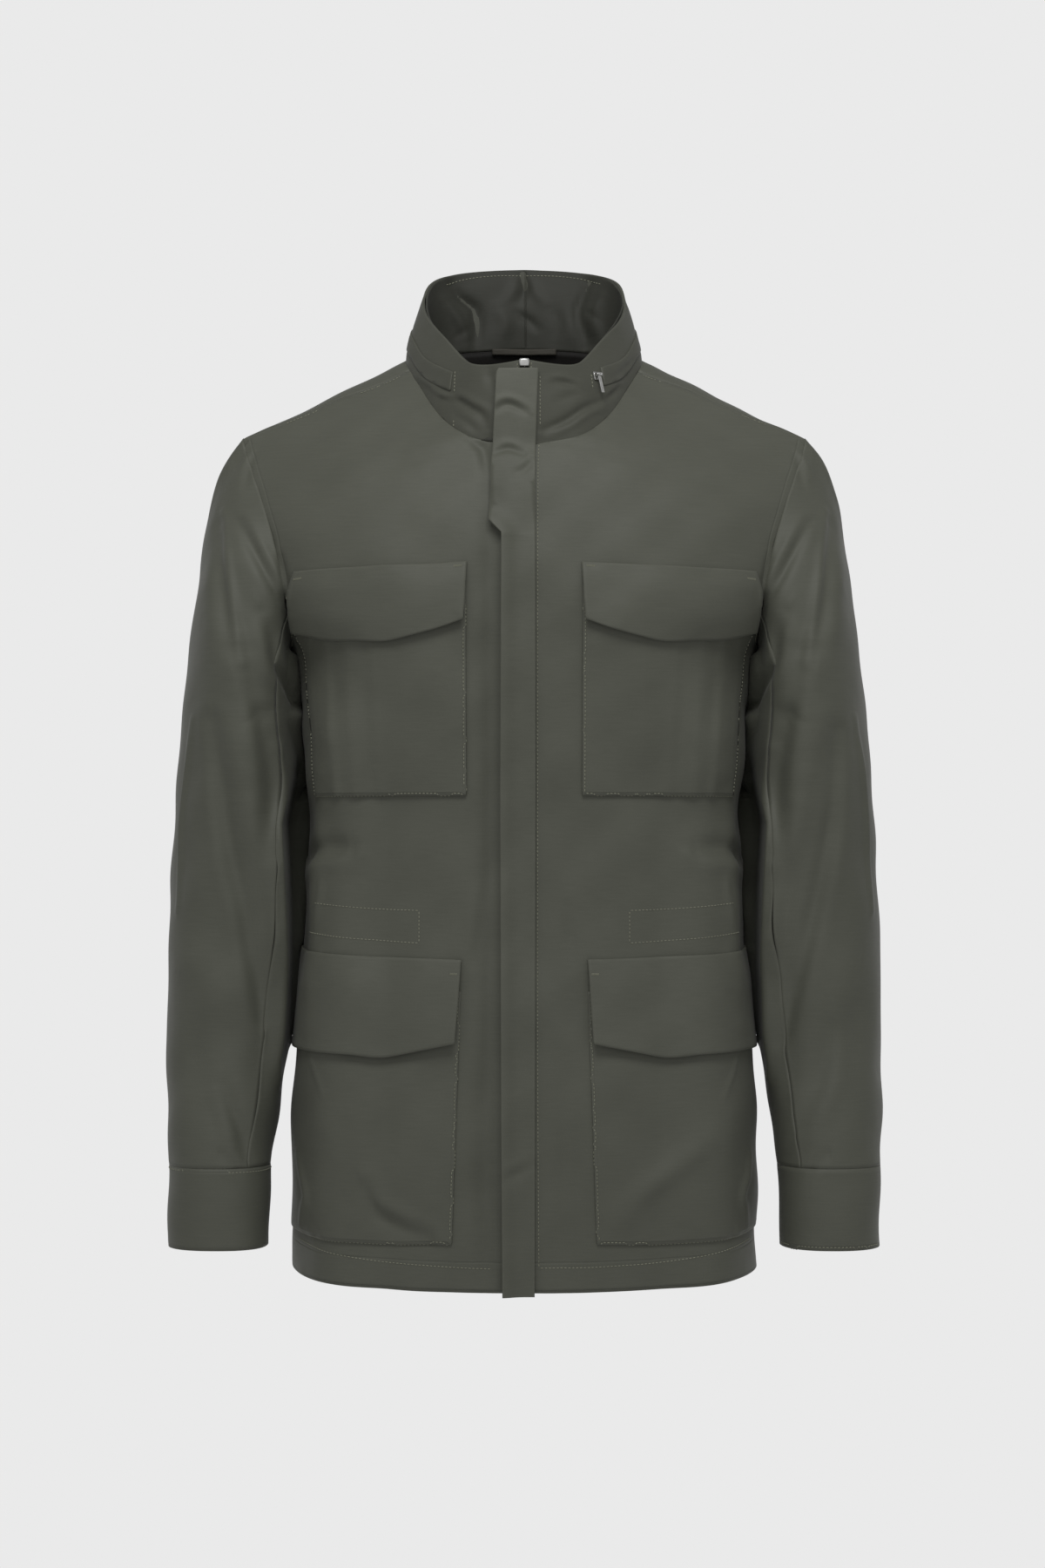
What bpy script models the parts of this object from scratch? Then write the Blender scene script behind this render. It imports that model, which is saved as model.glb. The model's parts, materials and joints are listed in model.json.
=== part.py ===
"""Men's field jacket, filled out and closed, as its cut and sewn pieces.

Tables and sizes are in millimetres and the meshes in metres. +X is the wearer's left, the
front faces -Y, and +Z is up. The origin is between the shoulders at the height of the side
neck points, where a wearer's neck and shoulders carry the jacket. Each cloth piece is a wall:
a grid of points on the outside, and the same grid moved in by the cloth's thickness. Pieces
that are sewn together share their seam points, and each then draws back by half a seam gap.
"""
import math
from collections import defaultdict, namedtuple

import bmesh
import bpy
import numpy as np
from mathutils import Matrix, Vector
from mathutils.bvhtree import BVHTree

MM = 0.001
ALL = slice(None)

# ---- Cloth and fit --------------------------------------------------------------------------
SHELL = 2.0            # wall of the fronts, back, sleeves and outer collar, lining included
PATCH = 1.6            # wall of pockets, flaps, facing and inner collar
SEAM_GAP = 0.3         # between two pieces at a seam
LIE_GAP = 0.8          # between a panel and what lies on it
MITRE_LIMIT = 0.55     # least cosine between a wall's own normal and its seam's shared one
AXIS_Y = 10.0          # the torso's upright axis, from which angles round it are measured

# ---- Grid counts ----------------------------------------------------------------------------
PANEL_COLUMNS = 11     # across each front, and each half of the back
SIDE_ROWS = 15         # from hem to armpit
CHEST_ROWS = 6         # front, from armpit to the level of the centre-front neck point
BLADE_ROWS = 7         # back, from armpit to the level of the centre-back neck point
NECK_ROWS = 7          # front, from the centre-front neck point to the shoulder seam
NAPE_ROWS = 6          # back, from the centre-back neck point to the shoulder seam
SLEEVE_ROWS = 21
COLLAR_ROWS = 5
DENSE = 5              # how much finer the torso is sampled for what lies on it

# ---- Torso below the armpits: one level per row ---------------------------------------------
# z at the front, the side and the back; half the width; how far front and back stand out
Level = namedtuple("Level", "z_front z_side z_back half front back")
TORSO = (
    Level(-742.0, -729.5, -740.0, 192.6, 122.0, 114.0),   # hem
    Level(-700.0, -694.0, -699.0, 190.8, 123.0, 114.0),
    Level(-648.0, -645.0, -647.0, 190.0, 124.0, 113.5),
    Level(-597.0, -596.0, -597.0, 189.0, 123.5, 112.5),
    Level(-549.0, -549.0, -549.0, 186.0, 121.0, 110.0),
    Level(-500.0, -500.0, -500.0, 183.4, 118.0, 106.0),
    Level(-462.0, -462.0, -462.0, 182.4, 115.0, 102.5),   # waist channel
    Level(-424.0, -424.0, -424.0, 180.6, 113.5, 100.5),
    Level(-400.0, -400.0, -400.0, 180.4, 113.5, 100.0),
    Level(-369.0, -369.0, -369.0, 177.0, 114.5, 101.0),   # pinched in above the waist
    Level(-339.0, -339.0, -339.0, 180.0, 116.0, 103.0),
    Level(-300.0, -300.0, -300.0, 183.6, 119.0, 106.0),
    Level(-262.0, -262.0, -262.0, 187.2, 121.5, 109.0),
)
SIDE_SEAM_Y = 26.0
FRONT_FULLNESS = (0.56, 0.40)   # Bezier handles at the centre and the side, by the row's chord
BACK_FULLNESS = (0.60, 0.32)

# ---- Torso above the armpits: rows from the centre or neck edge to the armhole ---------------
# neck or centre point; armhole point; headings of the row at both, in degrees from +X
Yoke = namedtuple("Yoke", "cx cy cz sx sy sz heading_c heading_s hold_c hold_s")
ARMPIT_FRONT = Yoke(0, -122.5, -226, 193.6, 22.0, -230.0, 0, 90, 0.56, 0.36)
ARMPIT_BACK = Yoke(0, 110.0, -228, 193.6, 22.0, -230.0, 0, -90, 0.60, 0.28)
SHOULDER_SEAM = Yoke(94, -12, 2.0, 232.5, -4.0, -53.5, 3.2, 3.2, 0.33, 0.33)
FRONT_YOKE = (
    ARMPIT_FRONT,
    Yoke(0, -123.5, -206, 190.6, -34.0, -217.0, 0, 72, 0.52, 0.30),
    Yoke(0, -123.0, -182, 192.5, -56.0, -194.0, 0, 61, 0.48, 0.27),
    Yoke(0, -121.0, -158, 196.5, -64.0, -171.0, 0, 51, 0.45, 0.25),
    Yoke(0, -115.5, -128, 201.5, -62.0, -146.0, 0, 42, 0.42, 0.26),
    Yoke(0, -98.0, -68, 209.0, -52.0, -121.0, 0, 34, 0.38, 0.28),      # centre-front neck
    Yoke(40, -88.5, -60, 217.0, -37.5, -98.0, 3, 27, 0.34, 0.31),
    Yoke(66, -66.0, -42, 226.0, -20.0, -74.0, 8, 18, 0.33, 0.33),
    SHOULDER_SEAM,
)
BACK_YOKE = (
    ARMPIT_BACK,
    Yoke(0, 112.0, -200, 190.6, 58.0, -212.0, 0, -64, 0.54, 0.24),
    Yoke(0, 113.0, -168, 194.5, 70.0, -186.0, 0, -54, 0.50, 0.22),
    Yoke(0, 111.0, -130, 200.5, 73.0, -156.0, 0, -44, 0.46, 0.23),
    Yoke(0, 103.0, -70, 207.5, 69.0, -128.0, 0, -36, 0.43, 0.26),
    Yoke(0, 70.0, 30, 214.5, 58.0, -102.0, 0, -28, 0.40, 0.29),        # centre-back neck
    Yoke(56, 61.0, 26, 221.0, 43.0, -83.0, -3, -21, 0.35, 0.32),
    Yoke(86, 38.0, 17, 227.5, 26.0, -65.5, -4, -12, 0.33, 0.33),
    Yoke(98, 6.0, 12, 231.5, 8.0, -52.5, 0, -3, 0.33, 0.33),           # ridge of the shoulder
    SHOULDER_SEAM,
)

# ---- Sleeve: one ring per row, tilted so that the outer side is the higher near the armhole --
Ring = namedtuple("Ring", "outer_x outer_z inner_x inner_z front_y back_y")
SLEEVE = (
    Ring(232.5, -53.5, 193.6, -230.0, -65.0, 78.0),    # armhole
    Ring(241.0, -63.5, 196.0, -235.0, -68.5, 81.0),
    Ring(249.5, -78.0, 193.9, -242.0, -72.0, 84.0),
    Ring(258.0, -102.0, 191.2, -256.0, -75.5, 87.0),
    Ring(266.0, -145.0, 188.0, -277.0, -78.5, 90.0),
    Ring(272.0, -194.0, 185.2, -303.0, -79.0, 91.0),
    Ring(278.0, -237.0, 182.4, -330.0, -77.0, 89.0),
    Ring(284.0, -300.0, 178.9, -368.0, -73.0, 85.0),
    Ring(290.0, -381.0, 181.9, -420.0, -67.0, 80.0),
    Ring(292.6, -438.0, 183.9, -462.0, -64.0, 77.0),
    Ring(294.0, -470.0, 187.9, -487.0, -62.0, 75.0),   # elbow
    Ring(294.6, -545.0, 193.7, -548.0, -63.5, 64.0),
    Ring(293.2, -597.0, 200.8, -597.0, -71.0, 43.0),
    Ring(290.8, -648.0, 207.0, -648.0, -78.5, 15.0),   # cuff seam
)
CUFF = (
    Ring(290.8, -648.0, 207.0, -648.0, -78.5, 15.0),
    Ring(290.6, -681.0, 208.0, -681.0, -79.5, 13.0),
    Ring(290.2, -714.0, 209.0, -714.0, -80.0, 11.0),
)
SLEEVE_ROUNDNESS = 2.25     # exponent of the rings' superellipse
ARMHOLE_FADE = 0.22         # share of the sleeve over which the armhole's own line fades out
FRONT_SEAM_SHARE = 0.86     # where the forearm seam runs, from shoulder to armpit round the front
BACK_SEAM_SHARE = 0.66

# ---- Collar ---------------------------------------------------------------------------------
# top edge from the centre front round the left side to the centre back
COLLAR_TOP = (
    (0, -89.0, 2.5), (8, -88.0, 2.0), (22, -84.5, 0.0), (38, -75.0, 0.0), (49, -62.0, 6.5),
    (63, -42.0, 24.0), (75, -22.0, 38.0), (81.5, -4.0, 49.0), (84.5, 18.0, 64.0),
    (82, 36.0, 76.5), (75.5, 50.0, 85.0), (60, 64.0, 91.5), (27, 73.5, 95.5), (0, 75.0, 97.0),
)
COLLAR_BULGE = 1.2          # outer collar, out from straight, at half height
HOOD_ROOM = 3.6             # between outer and inner collar at half height, for the rolled hood
COLLAR_TOP_GAP = 0.6        # between them at the top edge and the neck seam

# ---- Centre front ---------------------------------------------------------------------------
ZIP_HALF = 3.0              # half the width of the closed main zip
ZIP_WALL = 2.4
PLACKET_WALL = 2.4
# half of the storm placket: height, free edge at the wearer's right, stitched edge at the left
Edge = namedtuple("Edge", "z free stitched")
PLACKET = (
    Edge(-744.5, -17.4, 8.2),
    Edge(-600.0, -18.4, 8.4),
    Edge(-350.0, -19.2, 8.8),
    Edge(-145.0, -18.4, 8.6),
    Edge(-139.5, -18.6, 8.6),
    Edge(-129.0, -28.4, 8.6),   # the tab starts here
    Edge(-85.0, -26.8, 8.8),
    Edge(-68.0, -25.4, 9.0),
    Edge(-34.0, -23.8, 10.0),
    Edge(-9.0, -22.6, 11.0),
    Edge(-5.0, -20.6, 11.2),
)
PLACKET_ROWS = (16, 8, 6, 1, 1, 3, 2, 3, 3, 1)    # grid rows in each stretch of that table
ZIP_BOTTOM, ZIP_TOP = -736.0, -2.0

# ---- Pockets and flaps: outlines on the torso, by height and angle round its axis ------------
Outline = namedtuple("Outline", "inner_top inner_bottom outer_top outer_bottom top bottom")
# inner edge by x; outer edge by angle; top and bottom edges by (share of the width, z)
CHEST_POCKET = Outline(
    46.5, 46.0, 66.5, 65.5,
    ((0, -181), (1, -186)),
    ((0, -347), (1, -347.5)),
)
CHEST_FLAP = Outline(
    45.5, 47.7, 65.3, 70.5,
    ((0, -161.3), (1, -166.5)),
    ((0, -207), (0.47, -224.5), (1, -212.5)),
)
LOWER_POCKET = Outline(
    50.5, 57.5, 93.0, 93.0,
    ((0, -503), (1, -500)),
    ((0, -703.5), (0.28, -705), (0.6, -702.5), (1, -698)),
)
LOWER_FLAP = Outline(
    50.0, 53.8, 94.0, 94.5,
    ((0, -477.8), (0.45, -475.2), (1, -472.0)),
    ((0, -544.5), (0.30, -556.5), (0.46, -554), (0.9, -552), (1, -548)),
)
# how far flaps stand off the torso at the free edge, at the front and at the side
Lift = namedtuple("Lift", "front side")
CHEST_FLAP_LIFT = Lift(6.6, 5.6)
LOWER_FLAP_LIFT = Lift(7.6, 4.0)
# a pocket bag's gap at its edges, and how much fuller it is at its middle
Bag = namedtuple("Bag", "edge middle")
CHEST_BAG = Bag(1.5, 1.2)
LOWER_BAG = Bag(0.8, 3.4)

# ---- Neck inside, and the hood zip on the collar ----------------------------------------------
FACING_DROP = 42.0             # back neck facing, down from the neck seam
FACING_TOP = 1.4               # its top, below the neck seam
FACING_GAP = 1.2               # between it and the back's rim at the neck
FACING_SLOPE = 0.16            # how far it leans back as it falls
FACING_COLUMNS = 4             # of the back's neck columns, on each side of the centre
LOOP_LENGTH, LOOP_BAND, LOOP_WALL = 54.0, 5.0, 1.2
LOOP_Z = 26.0
LOOP_BOW = 2.2
# zip flange on the outer collar: share of the way from centre front to centre back on either
# side, where it ends, and its lower and upper edges as shares of the collar's height
Flange = namedtuple("Flange", "share low high")
FLANGE_RIGHT = (Flange(0.245, 0.43, 0.70), Flange(0.40, 0.20, 0.47), Flange(1.0, 0.18, 0.45))
FLANGE_LEFT = (Flange(0.270, 0.43, 0.70), Flange(0.40, 0.20, 0.47), Flange(1.0, 0.18, 0.45))
FLANGE_WALL = 1.2
HOOD_SLIDER = (0.240, 0.64)    # share round the left side and share of height of the hood zip slider
SLIDER_SIZE = (6.0, 2.0, 7.0)  # across, out and along
PULL_LENGTH, PULL_WIDTH, PULL_WALL = 17.0, 3.0, 1.2
EAR_WALL, EAR_GAP = 0.9, 0.35
PIN_RADIUS, EYE_RADIUS, PULL_HEAD = 0.55, 0.95, 1.9
MAIN_SLIDER_SIZE = (8.0, 3.2, 6.5)

# ---- Largest folds: soft troughs (negative) and ridges, the same on both sides ----------------
# start and end points, depth, half width; points are on the wearer's left side
Fold = namedtuple("Fold", "start end depth half_width")
TORSO_FOLDS = (
    Fold((184, -20, -371), (140, -95, -384), -3.6, 13.0),     # pinch above the waist
    Fold((181, 30, -372), (120, 90, -392), -3.4, 15.0),
    Fold((183, 0, -340), (150, -80, -318), 1.6, 18.0),
    Fold((181, -30, -410), (150, -85, -440), 1.6, 16.0),
)
SLEEVE_FOLDS = (
    Fold((236, -72, -165), (204, -74, -262), -4.2, 15.0),     # front of the upper arm
    Fold((262, -50, -130), (246, -78, -232), 2.6, 16.0),
    Fold((218, -80, -240), (205, -66, -330), 2.2, 14.0),
    Fold((240, 84, -170), (205, 78, -270), -4.0, 16.0),       # behind the upper arm
    Fold((215, -72, -400), (262, -66, -452), -2.6, 16.0),
    Fold((280, -40, -470), (225, -66, -520), 2.2, 16.0),
    Fold((214, 70, -470), (272, 66, -505), -3.0, 16.0),       # behind the elbow
    Fold((214, 62, -535), (276, 56, -560), -2.6, 15.0),
)

# ---- Colours (linear), roughness, metallic -----------------------------------------------------
Finish = namedtuple("Finish", "colour roughness metallic")
OLIVE = Finish((0.080, 0.083, 0.066), 0.62, 0.0)
LINING = Finish((0.013, 0.012, 0.010), 0.55, 0.0)
SILVER = Finish((0.62, 0.62, 0.60), 0.28, 1.0)
ZIP_BLACK = Finish((0.02, 0.02, 0.02), 0.5, 0.2)


def clear_scene():
    for item in list(bpy.data.objects):
        bpy.data.objects.remove(item)


def make_material(name, finish):
    material = bpy.data.materials.new(name)
    material.use_nodes = True
    shader = material.node_tree.nodes["Principled BSDF"]
    shader.inputs["Base Color"].default_value = (*finish.colour, 1.0)
    shader.inputs["Roughness"].default_value = finish.roughness
    shader.inputs["Metallic"].default_value = finish.metallic
    return material


# ---- Curves ------------------------------------------------------------------------------------
def unit(vectors):
    return vectors / np.linalg.norm(vectors, axis=-1, keepdims=True)


def smooth_through(keys, values, at):
    """Cubic through the values, column by column, that never swings past them."""
    keys, values, at = np.asarray(keys, float), np.asarray(values, float), np.asarray(at, float)
    step = np.diff(keys)
    slope = np.diff(values, axis=0) / step[:, None]
    tangent = np.zeros_like(values)
    tangent[0], tangent[-1] = slope[0], slope[-1]
    before, after = slope[:-1], slope[1:]
    same_way = before * after > 0
    mean = 2 * before * after / np.where(same_way, before + after, 1)
    tangent[1:-1] = np.where(same_way, mean, 0)
    place = np.clip(np.searchsorted(keys, at, side="right") - 1, 0, len(step) - 1)
    t = ((at - keys[place]) / step[place])[:, None]
    width = step[place][:, None]
    return (
        (1 + 2 * t) * (1 - t) ** 2 * values[place]
        + t * (1 - t) ** 2 * width * tangent[place]
        + t**2 * (3 - 2 * t) * values[place + 1]
        + t**2 * (t - 1) * width * tangent[place + 1]
    )


def along(points):
    """Distance along a run of points, starting at 0."""
    steps = np.linalg.norm(np.diff(points, axis=0), axis=1)
    return np.concatenate([[0], np.cumsum(steps)])


def resample(points, shares):
    """Points at these shares of the length of a smooth line through the given ones."""
    points = np.asarray(points, float)
    keys = along(points)
    fine = smooth_through(keys, points, np.linspace(0, keys[-1], 400))
    length = along(fine)
    return np.stack([np.interp(np.asarray(shares) * length[-1], length, c) for c in fine.T], 1)


def row_curve(yoke, ease, columns):
    """A row of the torso: a Bezier in plan, whose height eases from the centre to the seam."""
    start = np.array([yoke.cx, yoke.cy])
    end = np.array([yoke.sx, yoke.sy])
    chord = np.linalg.norm(end - start)
    angle_c, angle_s = math.radians(yoke.heading_c), math.radians(yoke.heading_s)
    leave = start + yoke.hold_c * chord * np.array([math.cos(angle_c), math.sin(angle_c)])
    arrive = end - yoke.hold_s * chord * np.array([math.cos(angle_s), math.sin(angle_s)])
    rise = yoke.sz - yoke.cz
    heights = (yoke.cz, yoke.cz + (1 - ease) * rise / 3, yoke.cz + (2 - ease) * rise / 3, yoke.sz)
    control = np.array([
        [*start, heights[0]], [*leave, heights[1]], [*arrive, heights[2]], [*end, heights[3]],
    ])
    t = np.linspace(0, 1, 8 * columns + 1)[:, None]
    curve = (
        (1 - t) ** 3 * control[0] + 3 * t * (1 - t) ** 2 * control[1]
        + 3 * t**2 * (1 - t) * control[2] + t**3 * control[3]
    )
    length = along(curve)
    wanted = np.linspace(0, length[-1], columns + 1)
    row = np.stack([np.interp(wanted, length, c) for c in curve.T], 1)
    row[0], row[-1] = control[0], control[3]
    return row


# ---- Torso panels ------------------------------------------------------------------------------
def low_rows(front):
    """The table's levels as yoke rows, for the front or the back."""
    for level in TORSO:
        depth, z = (-level.front, level.z_front) if front else (level.back, level.z_back)
        heading, fullness = (90, FRONT_FULLNESS) if front else (-90, BACK_FULLNESS)
        yield Yoke(0, depth, z, level.half, SIDE_SEAM_Y, level.z_side, 0, heading, *fullness)


def panel_grid(front, finer=1):
    """Half of the front or back, on the wearer's left: rows from hem to shoulder seam."""
    low, yoke = list(low_rows(front)), FRONT_YOKE if front else BACK_YOKE
    rows = np.array(low + list(yoke), float)
    middle = (rows[:, 0:3] + rows[:, 3:6]) / 2
    keys = along(middle)
    neck_key = next(i for i, row in enumerate(yoke) if row.cx > 0) - 1
    stops = (0, keys[len(low)], keys[len(low) + neck_key], keys[-1])
    counts = (SIDE_ROWS, CHEST_ROWS if front else BLADE_ROWS, NECK_ROWS if front else NAPE_ROWS)
    places = [np.linspace(a, b, n * finer + 1)[:-1] for a, b, n in zip(stops, stops[1:], counts)]
    places = np.concatenate([*places, [stops[-1]]])
    armpit = stops[1]
    grid = [
        row_curve(Yoke(*values), float(np.clip(2 * (1 - place / armpit), 0, 1)), PANEL_COLUMNS * finer)
        for place, values in zip(places, smooth_through(keys, rows, places))
    ]
    return np.array(grid)


def grid_normals(grid):
    across = np.gradient(grid, axis=1)
    up = np.gradient(grid, axis=0)
    return unit(np.cross(across, up))


def folded(grid, folds, flip):
    """The grid with its folds raised or sunk along its normals."""
    height = np.zeros(grid.shape[:2])
    for fold in folds:
        start, end = np.array(fold.start, float), np.array(fold.end, float)
        run = end - start
        share = np.clip((grid - start) @ run / (run @ run), 0, 1)
        away = np.linalg.norm(grid - (start + share[..., None] * run), axis=-1)
        fade = 0.35 + 0.65 * np.sin(math.pi * np.clip(share, 0.08, 0.92))
        height += fold.depth * fade * np.exp(-((away / fold.half_width) ** 2))
    return grid + flip * height[..., None] * grid_normals(grid)


def mirrored(grid):
    """The other side's grid, with its columns still running to the wearer's left."""
    return grid[:, ::-1] * np.array([-1, 1, 1])


# ---- Sleeves -----------------------------------------------------------------------------------
def ring_points(ring, angles):
    """Points round one ring: 0 at its outer side, a quarter turn at the front."""
    ring = Ring(*ring)
    outer = np.array([ring.outer_x, ring.outer_z])
    inner = np.array([ring.inner_x, ring.inner_z])
    centre, reach = (outer + inner) / 2, (outer - inner) / 2
    middle_y = (ring.front_y + ring.back_y) / 2
    half_y = (ring.back_y - ring.front_y) / 2
    power = 2 / SLEEVE_ROUNDNESS
    c, s = np.cos(angles), np.sin(angles)
    along_reach = np.sign(c) * np.abs(c) ** power
    along_y = np.sign(s) * np.abs(s) ** power
    xz = centre + along_reach[:, None] * reach
    return np.stack([xz[:, 0], middle_y - along_y * half_y, xz[:, 1]], 1)


def even_ring(ring, shares):
    """Points at these shares of the ring's girth."""
    fine = ring_points(ring, np.linspace(0, 2 * math.pi, 721))
    length = along(fine)
    return np.stack([np.interp(shares * length[-1], length, c) for c in fine.T], 1)


def armhole_loop(front, back):
    """The seam from the shoulder down the front to the armpit and up the back again."""
    down = front[SIDE_ROWS:, -1][::-1]
    up = back[SIDE_ROWS:, -1]
    return np.concatenate([down, up[1:]])


def sleeve_grid(loop):
    """Rows from the armhole to the cuff seam; columns round from the shoulder by the front."""
    shares = along(loop) / along(loop)[-1]
    table = np.array(SLEEVE, float)
    keys = along((table[:, 0:2] + table[:, 2:4]) / 2)
    places = np.linspace(0, 1, SLEEVE_ROWS + 1) ** 1.15 * keys[-1]
    grid = np.array([even_ring(ring, shares) for ring in smooth_through(keys, table, places)])
    own_line = loop - grid[0]
    fade = np.clip(1 - places / (ARMHOLE_FADE * keys[-1]), 0, 1)
    fade = fade**2 * (3 - 2 * fade)
    grid += fade[:, None, None] * own_line[None]
    grid[:, -1] = grid[:, 0]
    return grid, shares


def cuff_grid(shares):
    grid = np.array([even_ring(ring, shares) for ring in CUFF])
    grid[:, -1] = grid[:, 0]
    return grid


# ---- Walls -------------------------------------------------------------------------------------
def make_wall(name, outer, inner, material, slit=None):
    """One closed piece of cloth from its outside grid and its inside grid.

    A slit (column, row) parts that column from the next one above that row, and joins the two
    below it.
    """
    rows, columns = outer.shape[:2]
    sheet = bmesh.new()
    bmesh.ops.create_grid(sheet, x_segments=columns - 1, y_segments=rows - 1, size=1)
    verts = list(sheet.verts)
    for i, vertex in enumerate(verts):
        vertex.co = (i % columns, i // columns, 0)
    if slit:
        column, row = slit
        between = [f for f in sheet.faces if column < f.calc_center_median().x < column + 1]
        bmesh.ops.delete(sheet, geom=between, context="FACES_ONLY")
        bridge = [e for e in sheet.edges if not e.link_faces]
        bmesh.ops.delete(sheet, geom=bridge, context="EDGES")
        pairs = [(verts[r * columns + column + 1], verts[r * columns + column]) for r in range(row + 1)]
        bmesh.ops.weld_verts(sheet, targetmap=dict(pairs))
    out = bmesh.ops.extrude_face_region(sheet, geom=sheet.faces[:], use_keep_orig=True)
    raised = {item for item in out["geom"] if isinstance(item, bmesh.types.BMVert)}
    for vertex in sheet.verts:
        column, row = round(vertex.co.x), round(vertex.co.y)
        points = outer if vertex in raised else inner
        vertex.co = Vector(points[row, column]) * MM
    return finish_object(name, sheet, material)


def finish_object(name, shape, material, where=None):
    """The mesh as an object of this name, smooth but for its rims."""
    bmesh.ops.recalc_face_normals(shape, faces=shape.faces[:])
    bmesh.ops.triangulate(shape, faces=shape.faces[:], quad_method="SHORT_EDGE")
    mesh = bpy.data.meshes.new(name)
    shape.to_mesh(mesh)
    shape.free()
    if mesh_volume(mesh) < 0:
        mesh.flip_normals()
    mesh.shade_smooth()
    mesh.set_sharp_from_angle(angle=math.radians(40))
    mesh.materials.append(material)
    item = bpy.data.objects.new(name, mesh)
    bpy.context.scene.collection.objects.link(item)
    if where is not None:
        item.matrix_world = where
    return item


def mesh_volume(mesh):
    mesh.calc_loop_triangles()
    points = [v.co for v in mesh.vertices]
    corners = ([points[i] for i in t.vertices] for t in mesh.loop_triangles)
    return sum(a.dot(b.cross(c)) for a, b, c in corners) / 6


def edge_places(grid):
    rows, columns = grid.shape[:2]
    for row in range(rows):
        for column in range(columns):
            if row in (0, rows - 1) or column in (0, columns - 1):
                yield row, column


def seam_key(point):
    return tuple(np.round(point, 2) + 0.0)


def sewn_directions(panels):
    """Outward directions of each panel. At a seam they halve the angle between torso, sleeve
    and collar, and are as long as the mitre there, so that sewn walls meet in one plane."""
    normals = {name: grid_normals(grid) * flip for name, (grid, flip, _) in panels.items()}
    meeting = defaultdict(lambda: defaultdict(lambda: np.zeros(3)))
    for name, (grid, _, family) in panels.items():
        for place in edge_places(grid):
            meeting[seam_key(grid[place])][family] += normals[name][place]
    for name, (grid, _, _) in panels.items():
        for place in edge_places(grid):
            families = [unit(total) for total in meeting[seam_key(grid[place])].values()]
            mean = unit(sum(families))
            cosine = sum(float(mean @ family) for family in families) / len(families)
            normals[name][place] = mean / max(cosine, MITRE_LIMIT)
    return normals


def drawn_back(outer, inner, spans):
    """Both grids, with each side in spans moved in by half a seam gap along that stretch of it."""
    places = {"bottom": ((0, ALL), (1, ALL)), "top": ((-1, ALL), (-2, ALL)),
              "first": ((ALL, 0), (ALL, 1)), "last": ((ALL, -1), (ALL, -2))}
    shift = np.zeros_like(outer)
    for side, span in spans.items():
        edge, beside = places[side]
        tangent = np.gradient(outer[edge], axis=0)
        into = unit(np.cross(tangent, outer[edge] - inner[edge]))
        into *= np.sign((into * (outer[beside] - outer[edge])).sum(-1, keepdims=True))
        shift[edge][span] += into[span] * SEAM_GAP / 2
    return outer + shift, inner + shift


# ---- What lies on the torso --------------------------------------------------------------------
class Surface:
    """The outside of a panel, finely sampled, that other pieces are laid on."""

    def __init__(self, *grids):
        points, faces = [], []
        for grid, flip in grids:
            rows, columns = grid.shape[:2]
            first = len(points)
            points += [Vector(p) for p in grid.reshape(-1, 3)]
            for row in range(rows - 1):
                for column in range(columns - 1):
                    a = first + row * columns + column
                    quad = (a, a + 1, a + 1 + columns, a + columns)
                    faces.append(quad if flip > 0 else quad[::-1])
        self.tree = BVHTree.FromPolygons(points, faces)

    def ahead(self, x, z):
        """The front of the surface at x and z, or the point nearest to there past its edges."""
        point, normal = self.tree.ray_cast(Vector((x, -400, z)), Vector((0, 1, 0)))[:2]
        return (point, normal) if point else self.nearest((x, -TORSO[0].front, z))

    def around(self, angle, z):
        """The surface at this angle round the torso's axis, from the centre front."""
        way = Vector((math.sin(angle), -math.cos(angle), 0))
        return self.tree.ray_cast(Vector((0, AXIS_Y, z)) + 400 * way, -way)[:2]

    def nearest(self, point):
        return self.tree.find_nearest(Vector(point))[:2]


def angle_of(point):
    return math.atan2(point[0], AXIS_Y - point[1])


def eased(keys, share):
    """A value at this share of a width, from (share, value) pairs joined by straight lines."""
    shares, values = zip(*keys)
    return float(np.interp(share, shares, values))


def patch(surface, outline, columns, rows, lift, wall):
    """Outside and inside grids of a piece that lies on the torso. lift(u, v) is its gap."""
    outer, inner = np.zeros((rows + 1, len(columns), 3)), np.zeros((rows + 1, len(columns), 3))
    for j, u in enumerate(columns):
        top, bottom = eased(outline.top, u), eased(outline.bottom, u)
        for i in range(rows + 1):
            v = i / rows
            z = top + (bottom - top) * v
            x = outline.inner_top + (outline.inner_bottom - outline.inner_top) * v
            last = math.radians(outline.outer_top + (outline.outer_bottom - outline.outer_top) * v)
            first = angle_of(surface.ahead(x, z)[0])
            point, normal = surface.around(first + (last - first) * u, z)
            gap = lift(u, v)
            inner[i, j] = point + normal * gap
            outer[i, j] = point + normal * (gap + wall)
    return outer, inner


def bag_lift(bag):
    """A pocket bag: flat at its edges and fuller in the middle."""
    def lift(u, v):
        return bag.edge + bag.middle * (math.sin(math.pi * u) * math.sin(math.pi * v)) ** 0.6
    return lift


def flap_lift(amount):
    """A flap: sewn down along its top, and free to stand off below."""
    def lift(u, v):
        free = amount.front + (amount.side - amount.front) * u**1.5
        return LIE_GAP + free * v**0.55
    return lift


def both_sides(name, outer, inner, material):
    """A piece on the wearer's left, and its twin on the right."""
    make_wall(f"{name}_left", outer, inner, material)
    flip = np.array([-1, 1, 1])
    make_wall(f"{name}_right", outer * flip, inner * flip, material)


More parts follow.
